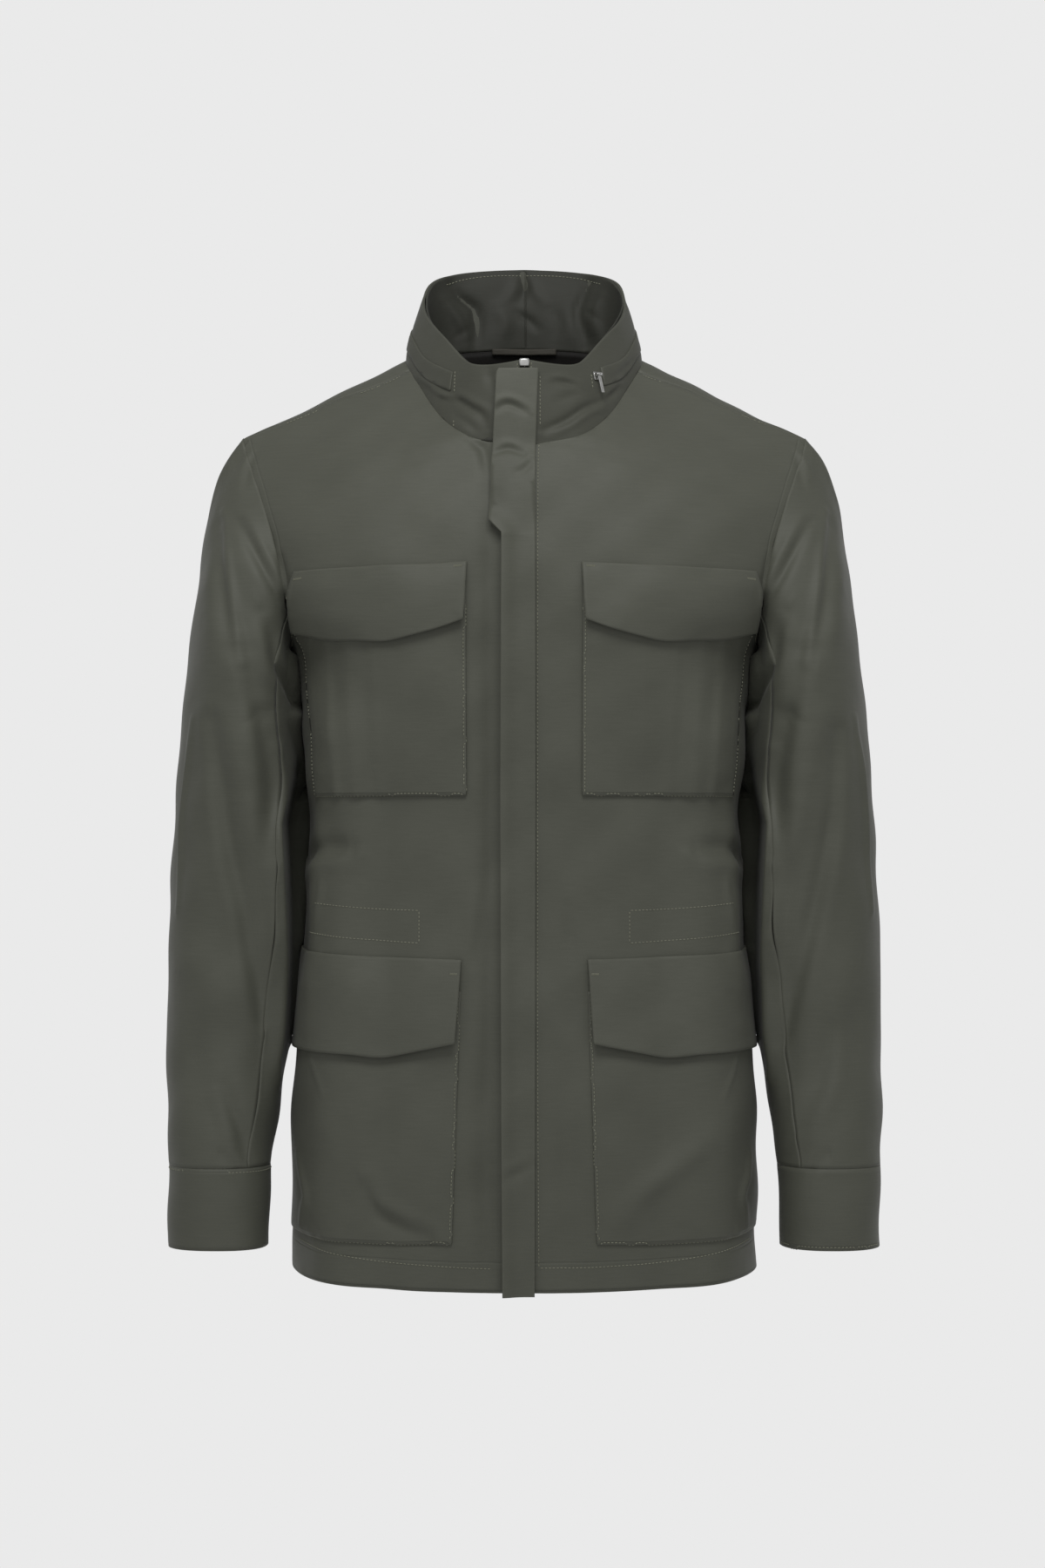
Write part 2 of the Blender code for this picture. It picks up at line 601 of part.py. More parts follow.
def make_pockets(surface, material):
    chest = np.linspace(0, 1, 8)
    lower = np.linspace(0, 1, 13)
    pieces = (
        ("chest_pocket", CHEST_POCKET, chest, 7, bag_lift(CHEST_BAG), PATCH),
        ("chest_flap", CHEST_FLAP, np.array([0, 0.16, 0.32, 0.47, 0.62, 0.78, 0.9, 1]), 4,
         flap_lift(CHEST_FLAP_LIFT), PATCH),
        ("lower_pocket", LOWER_POCKET, lower, 8, bag_lift(LOWER_BAG), PATCH),
        ("lower_flap", LOWER_FLAP, np.array([0, 0.1, 0.2, 0.3, 0.38, 0.46, 0.57, 0.68, 0.79, 0.9, 1]),
         4, flap_lift(LOWER_FLAP_LIFT), PATCH),
    )
    for name, outline, columns, rows, lift, wall in pieces:
        outer, inner = patch(surface, outline, columns, rows, lift, wall)
        both_sides(name, outer, inner, material)


# ---- Collar, zip and placket -------------------------------------------------------------------
def collar_grid(base):
    """Half the outer collar, from centre front to centre back, rows from neck seam to top."""
    shares = along(base) / along(base)[-1]
    top = resample(COLLAR_TOP, shares)
    v = np.linspace(0, 1, COLLAR_ROWS + 1)[:, None, None]
    grid = base + (top - base) * v
    out = unit(np.cross(np.gradient(grid, axis=1), np.gradient(grid, axis=0)))
    return grid + out * COLLAR_BULGE * np.sin(math.pi * v), shares


def whole_ring(half):
    """Both sides of a ring, from the wearer's right centre front round the back to the left."""
    right = half * np.array([-1, 1, 1])
    return np.concatenate([right, half[:, ::-1][:, 1:]], axis=1)


def opened_at_front(ring):
    """The ring's two ends drawn apart for the main zip."""
    ring = ring.copy()
    ring[:, 0, 0] = -ZIP_HALF - SEAM_GAP
    ring[:, -1, 0] = ZIP_HALF + SEAM_GAP
    return ring


def make_collar(ring, directions, material):
    """The outer wall, and the inner wall with room for the rolled hood between them."""
    outer = opened_at_front(ring)
    shell = outer - directions * SHELL
    make_wall("collar_outer", *drawn_back(outer, opened_at_front(shell), {"bottom": ALL}), material)
    inside = unit(directions)
    inside[0] = inside[1]
    v = np.linspace(0, 1, len(ring))[:, None, None]
    room = COLLAR_TOP_GAP + HOOD_ROOM * np.sin(math.pi * v)
    near = opened_at_front(ring - inside * (SHELL + room))
    far = opened_at_front(ring - inside * (SHELL + room + PATCH))
    make_wall("collar_inner", near, far, material)
    return near, far


def centre_line(surface, z):
    """Depth of the outside beside the centre front, at this height."""
    return surface.ahead(ZIP_HALF, z)[0][1]


def placket_rows():
    """Height, free edge and stitched edge of each of the placket's grid rows."""
    rows = []
    for low, high, count in zip(PLACKET, PLACKET[1:], PLACKET_ROWS):
        rows += [np.array(low) + (np.array(high) - np.array(low)) * k / count for k in range(count)]
    return np.array([*rows, PLACKET[-1]])


def make_zip(surface, material):
    """The closed main zip, edge to edge between the fronts and up the collar."""
    between = [z for z in placket_rows()[:, 0] if ZIP_BOTTOM < z < ZIP_TOP]
    heights = [ZIP_BOTTOM, *between, ZIP_TOP]
    outer = np.array([
        [(x, centre_line(surface, z), z) for x in (-ZIP_HALF, ZIP_HALF)] for z in heights
    ])
    make_wall("main_zip", outer, outer + np.array([0, ZIP_WALL, 0]), material)


def make_placket(surface, material):
    """The storm placket over the zip, with its tab at the top."""
    inner = []
    for z, left, right in placket_rows():
        level = max(z, TORSO[0].z_front + 1.0)
        row = []
        for share in np.linspace(0, 1, 4):
            x = left + (right - left) * share
            depth = min(surface.ahead(x, level)[0][1], centre_line(surface, level))
            row.append((x, depth - LIE_GAP, z))
        inner.append(row)
    inner = np.array(inner)
    normals = grid_normals(inner)
    outer = inner - normals * np.sign(normals[..., 1:2]) * PLACKET_WALL
    make_wall("storm_placket", outer, inner, material)
    return outer


def make_flange(grid, shares, material):
    """The flap over the hood zip, round the outer collar from one side of the front to the other."""
    right, left = FLANGE_RIGHT[0].share, FLANGE_LEFT[0].share
    places = [(right, -1, FLANGE_RIGHT)]
    places += [(share, -1, FLANGE_RIGHT) for share in shares if share > right + 0.01]
    places += [(share, 1, FLANGE_LEFT) for share in shares[-2::-1] if share > left + 0.01]
    places += [(left, 1, FLANGE_LEFT)]
    inner = np.zeros((3, len(places), 3))
    for j, (share, side, table) in enumerate(places):
        keys, lows, highs = zip(*table)
        low, high = np.interp(share, keys, lows), np.interp(share, keys, highs)
        for i, height in enumerate((low, (low + high) / 2, high)):
            inner[i, j] = collar_point(grid, shares, share, height) * np.array([side, 1, 1])
    outward = -grid_normals(inner)
    near = inner + outward * LIE_GAP
    make_wall("hood_zip_flange", near + outward * FLANGE_WALL, near, material)


def collar_point(grid, shares, share, height):
    """A point of half the collar by its share round from the centre front and its share of height."""
    level = height * (len(grid) - 1)
    low = min(int(level), len(grid) - 2)
    row = grid[low] + (grid[low + 1] - grid[low]) * (level - low)
    return np.array([np.interp(share, shares, coordinate) for coordinate in row.T])


def collar_frame(grid, shares, share, height):
    """Place on the wearer's left of the collar, with axes level across it, out of it and up it."""
    here = collar_point(grid, shares, share, height)
    beside = collar_point(grid, shares, share + 0.02, height) - here
    above = collar_point(grid, shares, share, height + 0.1) - here
    out = unit(np.cross(beside, above))
    across = unit(np.cross(out, (0.0, 0.0, 1.0)))
    return here, across, out, np.cross(across, out)


def frame_matrix(place, across, out, up):
    axes = Matrix((across, out, up)).transposed().to_4x4()
    return Matrix.Translation(Vector(place) * MM) @ axes


def block(size, bevel=0.4):
    shape = bmesh.new()
    bmesh.ops.create_cube(shape, size=1)
    bmesh.ops.scale(shape, vec=Vector(size) * MM, verts=shape.verts[:])
    bmesh.ops.bevel(shape, geom=shape.edges[:], offset=bevel * MM, affect="EDGES", segments=1,
                    profile=0.5, material=-1)
    return shape


def disc(radius, width, sides=12):
    """A short cylinder along X."""
    shape = bmesh.new()
    bmesh.ops.create_cone(shape, cap_ends=True, segments=sides, radius1=radius * MM,
                          radius2=radius * MM, depth=width * MM)
    bmesh.ops.rotate(shape, matrix=Matrix.Rotation(math.pi / 2, 3, "Y"), verts=shape.verts[:])
    return shape


def joined(name, shapes, material, where, operation="UNION"):
    """Boolean of the first shape with each of the others, baked into one object."""
    parts = []
    for k, (shape, shift) in enumerate(shapes):
        bmesh.ops.translate(shape, vec=Vector(shift) * MM, verts=shape.verts[:])
        parts.append(finish_object(f"{name}_{k}", shape, material))
    base, *others = parts
    for k, other in enumerate(others):
        step = base.modifiers.new(f"join_{k}", "BOOLEAN")
        step.operation = operation if isinstance(operation, str) else operation[k]
        step.object = other
    bpy.context.view_layer.update()
    graph = bpy.context.evaluated_depsgraph_get()
    mesh = bpy.data.meshes.new_from_object(base.evaluated_get(graph))
    mesh.name = name
    for part in parts:
        bpy.data.objects.remove(part)
    item = bpy.data.objects.new(name, mesh)
    bpy.context.scene.collection.objects.link(item)
    item.matrix_world = where
    return item


def make_hood_zip(grid, shares, material):
    """Slider on the collar, and a pull that swings on the slider's pin."""
    here, across, out, up = collar_frame(grid, shares, *HOOD_SLIDER)
    seat = here + out * (LIE_GAP + SLIDER_SIZE[1] / 2)
    slider_frame = frame_matrix(seat, across, out, up)
    pin_out = SLIDER_SIZE[1] / 2 + PULL_HEAD + 0.5
    ear_x = PULL_WIDTH / 2 + EAR_GAP + EAR_WALL / 2
    ear = (EAR_WALL, pin_out + PIN_RADIUS + 0.9, 2.6)
    ear_y = ear[1] / 2
    joined("hood_zip_slider", (
        (block(SLIDER_SIZE), (0, 0, 0)),
        (block(ear, 0.2), (ear_x, ear_y, 0)),
        (block(ear, 0.2), (-ear_x, ear_y, 0)),
        (disc(PIN_RADIUS, 2 * ear_x), (0, pin_out, 0)),
    ), material, slider_frame)
    pin = seat + out * pin_out
    bar_length = PULL_LENGTH - PULL_HEAD
    joined("hood_zip_pull", (
        (disc(PULL_HEAD, PULL_WIDTH), (0, 0, 0)),
        (block((PULL_WIDTH, PULL_WALL, bar_length), 0.3), (0, 0, -bar_length / 2 - PULL_HEAD * 0.5)),
        (disc(EYE_RADIUS, PULL_WIDTH + 2), (0, 0, 0)),
    ), material, frame_matrix(pin, across, out, up), ("UNION", "DIFFERENCE"))
    print("hood zip pin", np.round(pin, 2), "across", np.round(across, 4), "out", np.round(out, 4))


def make_facing(ring, inside, material):
    """The dark facing inside the back neck, hung from the neck seam."""
    middle = ring.shape[1] // 2
    columns = range(middle - FACING_COLUMNS, middle + FACING_COLUMNS + 1)
    outer = np.zeros((3, len(columns), 3))
    for j, column in enumerate(columns):
        way = inside[0, column] * np.array([1, 1, 0])
        for i, drop in enumerate((FACING_TOP, FACING_DROP / 2, FACING_DROP)):
            outer[i, j] = ring[0, column] - way * (SHELL + FACING_GAP - FACING_SLOPE * drop)
            outer[i, j, 2] -= drop
    out = grid_normals(outer)
    out *= np.sign((out * inside[:3, list(columns)]).sum(-1, keepdims=True))
    inner = outer - out * PATCH
    make_wall("neck_facing", outer, inner, material)
    return inner


def make_loop(facing, material):
    """The hanger loop across the facing, a little bowed off it."""
    x = np.linspace(-LOOP_LENGTH / 2, LOOP_LENGTH / 2, 9)
    top = facing[0][np.argsort(facing[0][:, 0])]
    carried = np.interp(x, top[:, 0], top[:, 1])
    bow = LIE_GAP + LOOP_BOW * np.cos(math.pi * x / LOOP_LENGTH) ** 0.7
    levels = (LOOP_Z - LOOP_BAND / 2, LOOP_Z + LOOP_BAND / 2)
    back = np.array([np.stack([x, carried - bow, np.full(len(x), z)], 1) for z in levels])
    make_wall("hanger_loop", back - np.array([0, LOOP_WALL, 0]), back, material)


def make_fronts(walls, material):
    neck_row = SIDE_ROWS + CHEST_ROWS
    for name, centre, side, x in (
        ("front_left", "first", "last", ZIP_HALF + SEAM_GAP),
        ("front_right", "last", "first", -ZIP_HALF - SEAM_GAP),
    ):
        spans = {"top": ALL, side: ALL, centre: slice(neck_row, None)}
        outer, inner = drawn_back(*walls[name], spans)
        column = 0 if centre == "first" else -1
        for points in (outer, inner):
            points[:neck_row + 1, column, 0] = x
        make_wall(name, outer, inner, material)


def make_back(walls, material):
    """The back in one piece, its halves joined at the centre up to the neck."""
    neck_row = SIDE_ROWS + BLADE_ROWS
    neck = slice(neck_row, None)
    left = drawn_back(*walls["back_left"], {"top": ALL, "last": ALL, "first": neck})
    right = drawn_back(*walls["back_right"], {"top": ALL, "first": ALL, "last": neck})
    for column, half in ((0, left), (-1, right)):
        for points in half:
            points[:neck_row + 1, column, 0] = 0
    outer, inner = (np.concatenate(pair, axis=1) for pair in zip(right, left))
    make_wall("back", outer, inner, material, slit=(PANEL_COLUMNS, neck_row))


def make_cuffs(cuff, material):
    """Closed bands at the sleeve ends."""
    wrapped = np.concatenate([cuff[:, -2:-1], cuff, cuff[:, 1:2]], axis=1)
    inner = cuff - grid_normals(wrapped)[:, 1:-1] * SHELL
    outer, inner = drawn_back(cuff, inner, {"bottom": ALL})
    for side, flip in (("left", 1), ("right", -1)):
        make_band(f"cuff_{side}", outer * np.array([flip, 1, 1]), inner * np.array([flip, 1, 1]), material)


def make_band(name, outer, inner, material):
    """A closed band, from grids whose last column repeats the first."""
    rows, columns = outer.shape[0], outer.shape[1] - 1
    band = bmesh.new()
    rings = [*outer, *inner[::-1]]
    loops = [[band.verts.new(Vector(p) * MM) for p in ring[:-1]] for ring in rings]
    for ring, following in zip(loops, [*loops[1:], loops[0]]):
        for k in range(columns):
            band.faces.new((ring[k], ring[k - 1], following[k - 1], following[k]))
    finish_object(name, band, material)


# ---- The jacket --------------------------------------------------------------------------------
def main():
    clear_scene()
    olive = make_material("olive_cloth", OLIVE)
    lining = make_material("dark_lining", LINING)
    silver = make_material("silver_metal", SILVER)
    zip_black = make_material("black_zip", ZIP_BLACK)

    front = folded(panel_grid(True), TORSO_FOLDS, 1)
    back = folded(panel_grid(False), TORSO_FOLDS, -1)
    for row in range(SIDE_ROWS + 1):
        back[row, -1] = front[row, -1]
    loop = armhole_loop(front, back)
    sleeve, shares = sleeve_grid(loop)
    sleeve = folded(sleeve, SLEEVE_FOLDS, 1)
    sleeve[0] = loop
    sleeve[:, -1] = sleeve[:, 0]
    print("armhole", round(along(loop)[-1]), "hem", round(2 * (along(front[0])[-1] + along(back[0])[-1])))

    count = len(loop) - 1
    down = CHEST_ROWS + NECK_ROWS
    front_seam = round(FRONT_SEAM_SHARE * down)
    back_seam = down + round((1 - BACK_SEAM_SHARE) * (count - down))
    order = np.arange(back_seam - count, front_seam + 1) % count
    top = sleeve[:, order]
    under = sleeve[:, front_seam:back_seam + 1]

    neck_front = front[SIDE_ROWS + CHEST_ROWS:, 0]
    neck_back = back[SIDE_ROWS + BLADE_ROWS:, 0][::-1]
    base = np.concatenate([neck_front, neck_back[1:]])
    collar, collar_shares = collar_grid(base)
    ring = whole_ring(collar)

    panels = {
        "front_left": (front, 1, "torso"),
        "front_right": (mirrored(front), 1, "torso"),
        "back_left": (back, -1, "torso"),
        "back_right": (mirrored(back), -1, "torso"),
        "sleeve_top_left": (top, 1, "sleeve"),
        "sleeve_under_left": (under, 1, "sleeve"),
        "sleeve_top_right": (mirrored(top), 1, "sleeve"),
        "sleeve_under_right": (mirrored(under), 1, "sleeve"),
        "collar_outer": (ring, -1, "collar"),
    }
    directions = sewn_directions(panels)
    walls = {name: (grid, grid - directions[name] * SHELL) for name, (grid, _, _) in panels.items()}
    make_fronts(walls, olive)
    make_back(walls, olive)
    around = {"bottom": ALL, "top": ALL, "first": ALL, "last": ALL}
    for name in ("sleeve_top_left", "sleeve_under_left", "sleeve_top_right", "sleeve_under_right"):
        make_wall(name, *drawn_back(*walls[name], around), olive)
    make_cuffs(cuff_grid(shares), olive)
    make_collar(ring, directions["collar_outer"], olive)

    fine_front = folded(panel_grid(True, DENSE), TORSO_FOLDS, 1)
    fine_back = folded(panel_grid(False, DENSE), TORSO_FOLDS, -1)
    torso = Surface(
        (fine_front, 1), (front, 1), (fine_back, -1), (back, -1),
        (mirrored(fine_front), 1), (mirrored(fine_back), -1),
    )
    with_collar = Surface(
        (fine_front, 1), (mirrored(fine_front), 1), (ring, -1),
    )
    make_pockets(torso, olive)
    make_zip(with_collar, zip_black)
    make_placket(with_collar, olive)
    make_flange(collar, collar_shares, olive)
    make_hood_zip(collar, collar_shares, silver)
    facing = make_facing(ring, unit(directions["collar_outer"]), lining)
    make_loop(facing, lining)
    slider_y = centre_line(with_collar, ZIP_TOP) - MAIN_SLIDER_SIZE[1] / 2 - LIE_GAP
    make_slider(slider_y, silver)


def make_slider(y, material):
    shape = block(MAIN_SLIDER_SIZE, 0.8)
    finish_object("main_zip_slider", shape, material, Matrix.Translation(Vector((0, y, 0)) * MM))


main()
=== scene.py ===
# %% [markdown]
# # A field jacket in tightly woven olive cloth
# The cut pieces come in as plain solid walls, already in the right place. This lesson dresses
# each wall as real cloth: finer, softly creased, stitched along its seams and finished with a
# woven material, and then adds the zip's metal and the studio round it.

# %% Load the cut pieces
import json
import math
from collections import namedtuple

import bmesh
import bpy
import numpy as np
from mathutils import Matrix, Vector
from mathutils.bvhtree import BVHTree
from mathutils.kdtree import KDTree

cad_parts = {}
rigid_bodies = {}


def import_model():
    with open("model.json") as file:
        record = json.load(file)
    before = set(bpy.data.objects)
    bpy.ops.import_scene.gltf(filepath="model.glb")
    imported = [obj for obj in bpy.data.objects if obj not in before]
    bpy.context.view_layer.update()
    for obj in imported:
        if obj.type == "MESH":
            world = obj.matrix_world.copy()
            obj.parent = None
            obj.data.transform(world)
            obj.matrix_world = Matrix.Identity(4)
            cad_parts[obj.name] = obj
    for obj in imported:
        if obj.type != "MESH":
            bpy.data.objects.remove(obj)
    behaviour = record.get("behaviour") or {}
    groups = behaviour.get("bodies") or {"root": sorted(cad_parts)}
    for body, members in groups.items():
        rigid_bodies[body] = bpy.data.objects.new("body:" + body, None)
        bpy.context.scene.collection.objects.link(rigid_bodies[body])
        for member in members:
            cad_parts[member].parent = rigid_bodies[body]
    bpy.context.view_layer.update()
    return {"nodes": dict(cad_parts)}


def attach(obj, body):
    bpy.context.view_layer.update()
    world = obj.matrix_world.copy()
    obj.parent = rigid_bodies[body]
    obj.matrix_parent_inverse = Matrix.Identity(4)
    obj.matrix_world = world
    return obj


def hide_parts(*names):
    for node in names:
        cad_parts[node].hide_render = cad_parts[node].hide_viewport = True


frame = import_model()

MM = 0.001


def placed(name, data):
    """A new object with this data, linked to the scene."""
    item = bpy.data.objects.new(name, data)
    bpy.context.scene.collection.objects.link(item)
    return item


def built(shape, name, finish, smooth=True):
    """A new object from a bmesh, with one finish."""
    for face in shape.faces:
        face.smooth = smooth
    mesh = bpy.data.meshes.new(name)
    shape.to_mesh(mesh)
    shape.free()
    mesh.materials.append(finish)
    return placed(name, mesh)


# %% [markdown]
# ## Camera first
# The jacket is seen level, straight from the front and from three metres away, so that its
# sides hardly converge. A camera looks along its own -Z, so it is turned a quarter turn about X.

# %% Place the camera
camera_data = bpy.data.cameras.new("front_camera")
camera_data.sensor_width = 36
camera_data.lens = 83.33
camera = placed("front_camera", camera_data)
camera.location = (-1.44 * MM, -3.0, -338 * MM)
camera.rotation_euler = (math.pi / 2, 0, 0)
bpy.context.scene.camera = camera
print("camera", [round(v, 3) for v in camera.location])

# %% [markdown]
# ## Arithmetic on sockets
# A woven finish is mostly sums: threads across, threads along, a little unevenness. Written as
# Math nodes one by one that is hard to read, so a socket is wrapped in a small class, and an
# ordinary Python expression then adds the nodes it needs.

# %% A socket that does sums
class Wire:
    def __init__(self, socket):
        self.socket = socket

    def sums(self, operation, first, second):
        tree = self.socket.node.id_data
        node = tree.nodes.new("ShaderNodeMath")
        node.operation = operation
        for slot, value in zip(node.inputs, (first, second)):
            if isinstance(value, Wire):
                tree.links.new(value.socket, slot)
            else:
                slot.default_value = value
        return Wire(node.outputs[0])

    def __add__(self, other):
        return self.sums("ADD", self, other)

    __radd__ = __add__

    def __sub__(self, other):
        return self.sums("SUBTRACT", self, other)

    def __rsub__(self, other):
        return self.sums("SUBTRACT", other, self)

    def __mul__(self, other):
        return self.sums("MULTIPLY", self, other)

    __rmul__ = __mul__

    def __pow__(self, other):
        return self.sums("POWER", self, other)

    def waves(self):
        return self.sums("SINE", self, 0.0)


# %% [markdown]
# ## One way to add any other node
# A finish is a material with its Principled shader. Its `node` method takes a node's type, the
# settings that have to come first, and then the values or wires of its sockets by name.

# %% A finish
class Finish:
    def __init__(self, name, **shader_values):
        self.material = bpy.data.materials.new(name)
        self.material.use_nodes = True
        self.tree = self.material.node_tree
        self.shader = self.tree.nodes["Principled BSDF"]
        for socket, value in shader_values.items():
            self.shader.inputs[socket.replace("_", " ")].default_value = value

    def feed(self, slot, value):
        if isinstance(value, Wire):
            self.tree.links.new(value.socket, slot)
        else:
            slot.default_value = value

    def node(self, kind, settings=None, output=0, **sockets):
        made = self.tree.nodes.new(kind)
        for name, value in (settings or {}).items():
            if name == "stops":
                for stop, (place, colour) in zip(made.color_ramp.elements, value):
                    stop.position, stop.color = place, colour
            else:
                setattr(made, name, value)
        for name, value in sockets.items():
            self.feed(made.inputs[name.replace("_", " ")], value)
        return Wire(made.outputs[output])

    def surface(self, **sockets):
        for name, value in sockets.items():
            self.feed(self.shader.inputs[name.replace("_", " ")], value)
        return self.material


# %% [markdown]
# ## The shell cloth
# The real cloth is a dense, smooth twill with a faint sheen. Its threads are about 0.6 mm
# apart, so they show as grain and not as lines. Each piece carries its own `cut` attribute,
# the place on the flat cloth in metres, so the threads follow the piece round a sleeve. Two
# more attributes are used: `edge`, how far a point is from the piece's border, where a painted
# highlight makes the cloth paler, and `line`, how far it is from the nearest stitching, which
# pulls a groove.

# %% Weave the shell cloth
EDGE_HIGHLIGHT, GROOVE = 1.6 * MM, 1.3 * MM    # how far the painted edge highlight and the stitched groove reach


def woven(name, colour, pale, dark, thread, relief, **shader_values):
    """A twill: its colour, the paler colour of its painted edge highlight and a darker one, its threads'
    spacing in mm and the depth of its crumples.
    """
    cloth = Finish(name, **shader_values)
    cut = cloth.node("ShaderNodeAttribute", {"attribute_name": "cut"}, output=1)
    parts = cloth.tree.nodes.new("ShaderNodeSeparateXYZ")
    cloth.feed(parts.inputs[0], cut)
    across, along = Wire(parts.outputs[0]), Wire(parts.outputs[1])
    turns = 2 * math.pi / (thread * MM)
    ribs = ((across + along) * turns).waves()
    counter = ((across - along) * (turns * 0.5)).waves()
    twill = ribs * 0.5 + counter * 0.2
    slubs = cloth.node("ShaderNodeTexNoise", Vector=cut, Scale=900.0, Detail=2.0, Roughness=0.6)
    stretch = cloth.node("ShaderNodeMapping", Vector=cut, Scale=(60.0, 900.0, 1.0))
    picks = cloth.node("ShaderNodeTexNoise", Vector=stretch, Scale=1.0, Detail=2.0, Roughness=0.5)
    mottle = cloth.node("ShaderNodeTexNoise", Vector=cut, Scale=14.0, Detail=3.0, Roughness=0.55)
    edge = cloth.node("ShaderNodeAttribute", {"attribute_name": "edge"}, output=2)
    line = cloth.node("ShaderNodeAttribute", {"attribute_name": "line"}, output=2)
    # Painted highlight: near the border the colour is mixed up to a third of the way to the paler colour, and
    # the roughness drops a little.
    edge_highlight = cloth.node("ShaderNodeMapRange", Value=edge, From_Min=0.0, From_Max=EDGE_HIGHLIGHT,
                        To_Min=1.0, To_Max=0.0)
    tone = mottle * 0.5 + slubs * 0.35 + picks * 0.35 - 0.1
    body = cloth.node("ShaderNodeValToRGB", {"stops": ((0.30, dark), (0.70, colour))}, Fac=tone)
    edge_highlighted = cloth.node("ShaderNodeMix", {"data_type": "RGBA"}, output=2)
    mix = edge_highlighted.socket.node
    cloth.feed(mix.inputs[0], edge_highlight * 0.35)
    cloth.feed(mix.inputs[6], body)
    cloth.feed(mix.inputs[7], pale)
    groove = cloth.node("ShaderNodeMapRange", {"interpolation_type": "SMOOTHSTEP"},
                        Value=cloth.node("ShaderNodeMath", {"operation": "ABSOLUTE"}, Value=line),
                        From_Min=0.0, From_Max=GROOVE, To_Min=-1.0, To_Max=0.0)
    crumple = cloth.node("ShaderNodeTexNoise", Vector=cut, Scale=38.0, Detail=3.0, Roughness=0.5,
                         Distortion=0.6)
    height = twill * 0.012 + slubs * 0.020 + picks * 0.016 + groove * 0.30 + crumple * relief
    bump = cloth.node("ShaderNodeBump", Strength=1.0, Distance=1.0 * MM, Height=height)
    rough = 0.56 + slubs * 0.10 + edge_highlight * -0.05
    return cloth.surface(Base_Color=edge_highlighted, Roughness=rough, Normal=bump)


# Each twill's second colour is the paler colour of its painted edge highlight.
shell_cloth = woven("olive_shell_cloth", (0.098, 0.101, 0.080, 1), (0.135, 0.138, 0.112, 1),
                    (0.078, 0.081, 0.063, 1), 0.62, 0.45, Sheen_Weight=0.05, Sheen_Roughness=0.45,
                    Specular_IOR_Level=0.36)
print("cloth nodes", len(shell_cloth.node_tree.nodes))

# %% [markdown]
# ## Lining, thread, tape and metal
# The lining is nearly black, with finer threads than the shell. The cloth inside the collar and
# the collar's own are the shell's twill with painted shade, darkest inside the collar. Thread is
# paler than the cloth and twisted, like the tapes. The zip's metal is brushed along its length.

# %% Make the other finishes
lining_cloth = woven("dark_satin_lining", (0.0080, 0.0072, 0.0060, 1), (0.012, 0.011, 0.009, 1),
                     (0.0050, 0.0046, 0.0040, 1), 0.40, 0.6, Specular_IOR_Level=0.18)


def twisted(name, colour, dark):
    thread = Finish(name, Specular_IOR_Level=0.35)
    place = thread.node("ShaderNodeTexCoord", output=3)
    fibres = thread.node("ShaderNodeTexNoise", Vector=place, Scale=1600.0, Detail=2.0)
    fade = thread.node("ShaderNodeTexNoise", Vector=place, Scale=25.0, Detail=1.0)
    tint = thread.node("ShaderNodeValToRGB", {"stops": ((0.3, dark), (0.7, colour))},
                       Fac=fibres * 0.5 + fade * 0.5)
    bump = thread.node("ShaderNodeBump", Strength=0.6, Distance=0.2 * MM, Height=fibres)
    return thread.surface(Base_Color=tint, Roughness=0.62 + fibres * 0.15, Normal=bump)


def brushed(name, colour, dark, metallic, grain):
    metal = Finish(name, Metallic=metallic)
    place = metal.node("ShaderNodeTexCoord", output=3)
    long_grain = metal.node("ShaderNodeMapping", Vector=place, Scale=(1.0, 1.0, 0.06))
    scratches = metal.node("ShaderNodeTexNoise", Vector=long_grain, Scale=grain, Detail=3.0)
    smears = metal.node("ShaderNodeTexNoise", Vector=place, Scale=260.0, Detail=2.0)
    tint = metal.node("ShaderNodeValToRGB", {"stops": ((0.3, dark), (0.7, colour))}, Fac=smears)
    bump = metal.node("ShaderNodeBump", Strength=0.35, Distance=0.05 * MM, Height=scratches)
    return metal.surface(Base_Color=tint, Roughness=0.2 + scratches * 0.16, Normal=bump)


# Painted shade: the shell's twill at under half its brightness, for the inside of the collar.
inner_cloth_painted_shade = woven("olive_inner_cloth_painted_shade", (0.042, 0.043, 0.035, 1), (0.075, 0.078, 0.062, 1),
                    (0.032, 0.033, 0.026, 1), 0.62, 0.4, Sheen_Weight=0.04, Sheen_Roughness=0.45,
                    Specular_IOR_Level=0.25)
# Painted shade: the shell's twill at about three quarters of its brightness, for the collar and the hood
# zip's flange.
collar_cloth_painted_shade = woven("olive_collar_cloth_painted_shade", (0.075, 0.077, 0.061, 1), (0.118, 0.121, 0.098, 1),
                     (0.060, 0.062, 0.048, 1), 0.62, 0.4, Sheen_Weight=0.04, Sheen_Roughness=0.45,
                     Specular_IOR_Level=0.3)
stitch_thread = twisted("olive_thread", (0.265, 0.268, 0.205, 1), (0.185, 0.188, 0.142, 1))
loop_tape = twisted("dark_olive_tape", (0.050, 0.046, 0.036, 1), (0.036, 0.033, 0.026, 1))
zip_tape = twisted("black_zip_tape", (0.022, 0.022, 0.021, 1), (0.014, 0.014, 0.013, 1))
silver = brushed("brushed_silver", (0.70, 0.70, 0.68, 1), (0.56, 0.56, 0.55, 1), 1.0, 2400.0)
print("finishes", len(bpy.data.materials))
